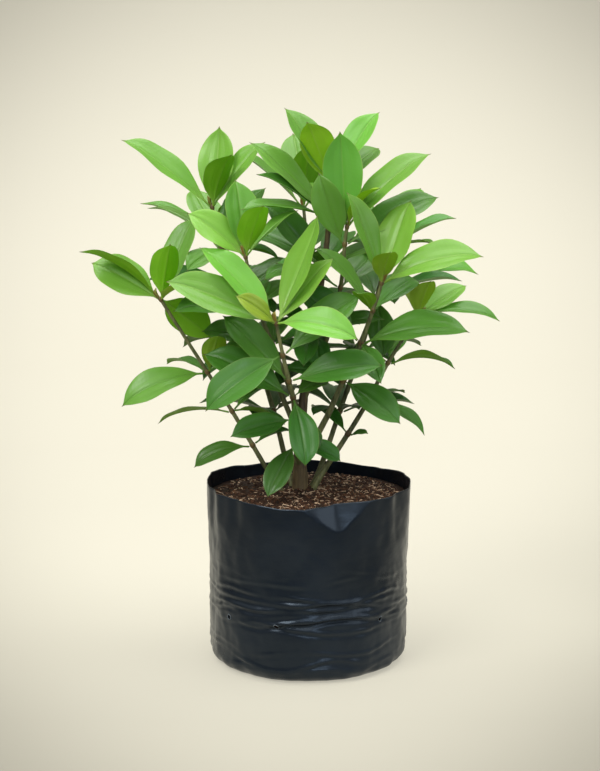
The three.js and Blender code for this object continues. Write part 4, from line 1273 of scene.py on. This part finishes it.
UPPERS = [
    (0.0, (0.02, 0.085, 0.012)), (0.3, (0.06, 0.22, 0.025)), (0.6, (0.19, 0.46, 0.065)),
    (0.85, (0.38, 0.58, 0.045)), (1.0, (0.38, 0.2, 0.035)),
]
# The undersides by age: their own paler yellow-green, painted brighter as well, a painted glow for light
# shining through them.
UNDERS_AND_PAINTED_GLOW = [
    (0.0, (0.05, 0.09, 0.01)), (0.3, (0.14, 0.27, 0.012)), (0.6, (0.3, 0.6, 0.015)),
    (0.85, (0.32, 0.5, 0.016)), (1.0, (0.36, 0.19, 0.04)),
]
OLD_LEAF = leaf_material("old_leaf", UPPERS, UNDERS_AND_PAINTED_GLOW, (0.2, 0.34, 0.07))
YOUNG_LEAF = leaf_material("young_leaf", UPPERS, UNDERS_AND_PAINTED_GLOW, (0.42, 0.55, 0.14))
JOINT = bark_material("leaf_joint", (0.06, 0.035, 0.01), (0.19, 0.13, 0.035), 0.3)
LEAF_TREE = leaf_tree()
AGE_BY_WHORL = [0.62, 0.48, 0.38, 0.33, 0.32, 0.34]  # from the top of a shoot down
BACK_PAINTED_SHADE = 0.18  # how much darker the leaves of the hidden shoots are painted: painted shade, given as a step down the age ramp
SMALL_LEAF = 60  # in a top whorl, a leaf shorter than this has only just opened
NEW_LEAF_AGE = 0.86
BUD_LEAF_LENGTH = 13


def golden(count):
    """An even spread of shares from 0 to 1 that looks like chance."""
    return (0.37 + count * 0.6180339887) % 1.0


def whorl_mesh(name, rows, centre, way, wood, last, count):
    """One point for each leaf, with everything that shapes and colours it."""
    labels = ("stalk", "chord", "side", "reach", "arch", "widest", "age", "luck", "tone")
    kinds = {label: [] for label in labels}
    for heading, rise, length, bend, roll, width, age in rows:
        turn, climb = math.radians(heading), math.radians(rise)
        chord = Vector((math.cos(climb) * math.cos(turn), math.cos(climb) * math.sin(turn), math.sin(climb)))
        side = Vector((-math.sin(turn), math.cos(turn), 0))
        side.rotate(Quaternion(chord, -math.radians(roll)))
        outwards = (chord - way * chord.dot(way)).normalized()
        kinds["stalk"].append(centre + outwards * (STALK_SINK if last else wood + STALK_SINK))
        kinds["chord"].append(chord)
        kinds["side"].append(side)
        kinds["reach"].append(length * MM)
        kinds["arch"].append(length * MM * math.tan(math.radians(bend or 1) / 2))
        kinds["widest"].append(length * width / 200 * MM)
        kinds["age"].append(age)
        kinds["luck"].append(golden(count + len(kinds["age"])))
        kinds["tone"].append(golden(7 * (count + len(kinds["age"])) + 3))
    mesh = bpy.data.meshes.new(name)
    mesh.from_pydata(kinds["stalk"], [], [])
    for label, values in kinds.items():
        if isinstance(values[0], Vector):
            flat = [part for value in values for part in value]
            mesh.attributes.new(label, "FLOAT_VECTOR", "POINT").data.foreach_set("vector", flat)
        else:
            mesh.attributes.new(label, "FLOAT", "POINT").data.foreach_set("value", values)
    return mesh


def leaf_whorls():
    """Every whorl of every shoot. The top one of a shoot also has the two halves of its bud."""
    count = 0
    for shoot in SHOOTS:
        points, radii = line_of(shoot)
        for index, (at, leaves) in enumerate(shoot["whorls"]):
            above = len(shoot["whorls"]) - 1 - index
            here = len(points) - 1 - above
            last = above == 0
            way = (points[min(here + 1, len(points) - 1)] - points[here - 1]).normalized()
            wood = radii[here]
            centre = place(at) + way * (1.8 * MM if last else 0)
            rows = []
            for row in leaves:
                new = last and row[2] < SMALL_LEAF
                age = NEW_LEAF_AGE if new else AGE_BY_WHORL[above]
                # The leaves of the back shoots are painted darker: painted shade for the inside of the crown.
                rows.append([*row, age - (BACK_PAINTED_SHADE if shoot["name"].startswith("back") else 0)])
            if last:
                lean = math.degrees(math.asin(way.z))
                heading = math.degrees(math.atan2(way.y, way.x))
                for turn, climb, bend in ((0, lean, -30), (180, 180 - lean, 44)):
                    rows.append([heading + turn, climb - 4, BUD_LEAF_LENGTH, bend, 0, 44, 1.0])
            name = f"leaves_{shoot['name']}_{index + 1}"
            inputs = {
                "Thickness": 0.62 * MM, "Stalk thickness": 1.3 * MM, "Margin lift": 0.28, "Ripple": 0.06,
                "Pleats": 1.0 * MM, "Joint place": centre, "Joint way": way, "Joint radius": wood + HUB_WALL,
                "Leaf": YOUNG_LEAF if last else OLD_LEAF, "Joint": JOINT,
            }
            source = whorl_mesh(name, rows, centre, way, wood, last, count)
            whorl = grown(name + "_look", source, LEAF_TREE, inputs)
            count += len(rows)
            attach(whorl, "root")
            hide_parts(name)


leaf_whorls()
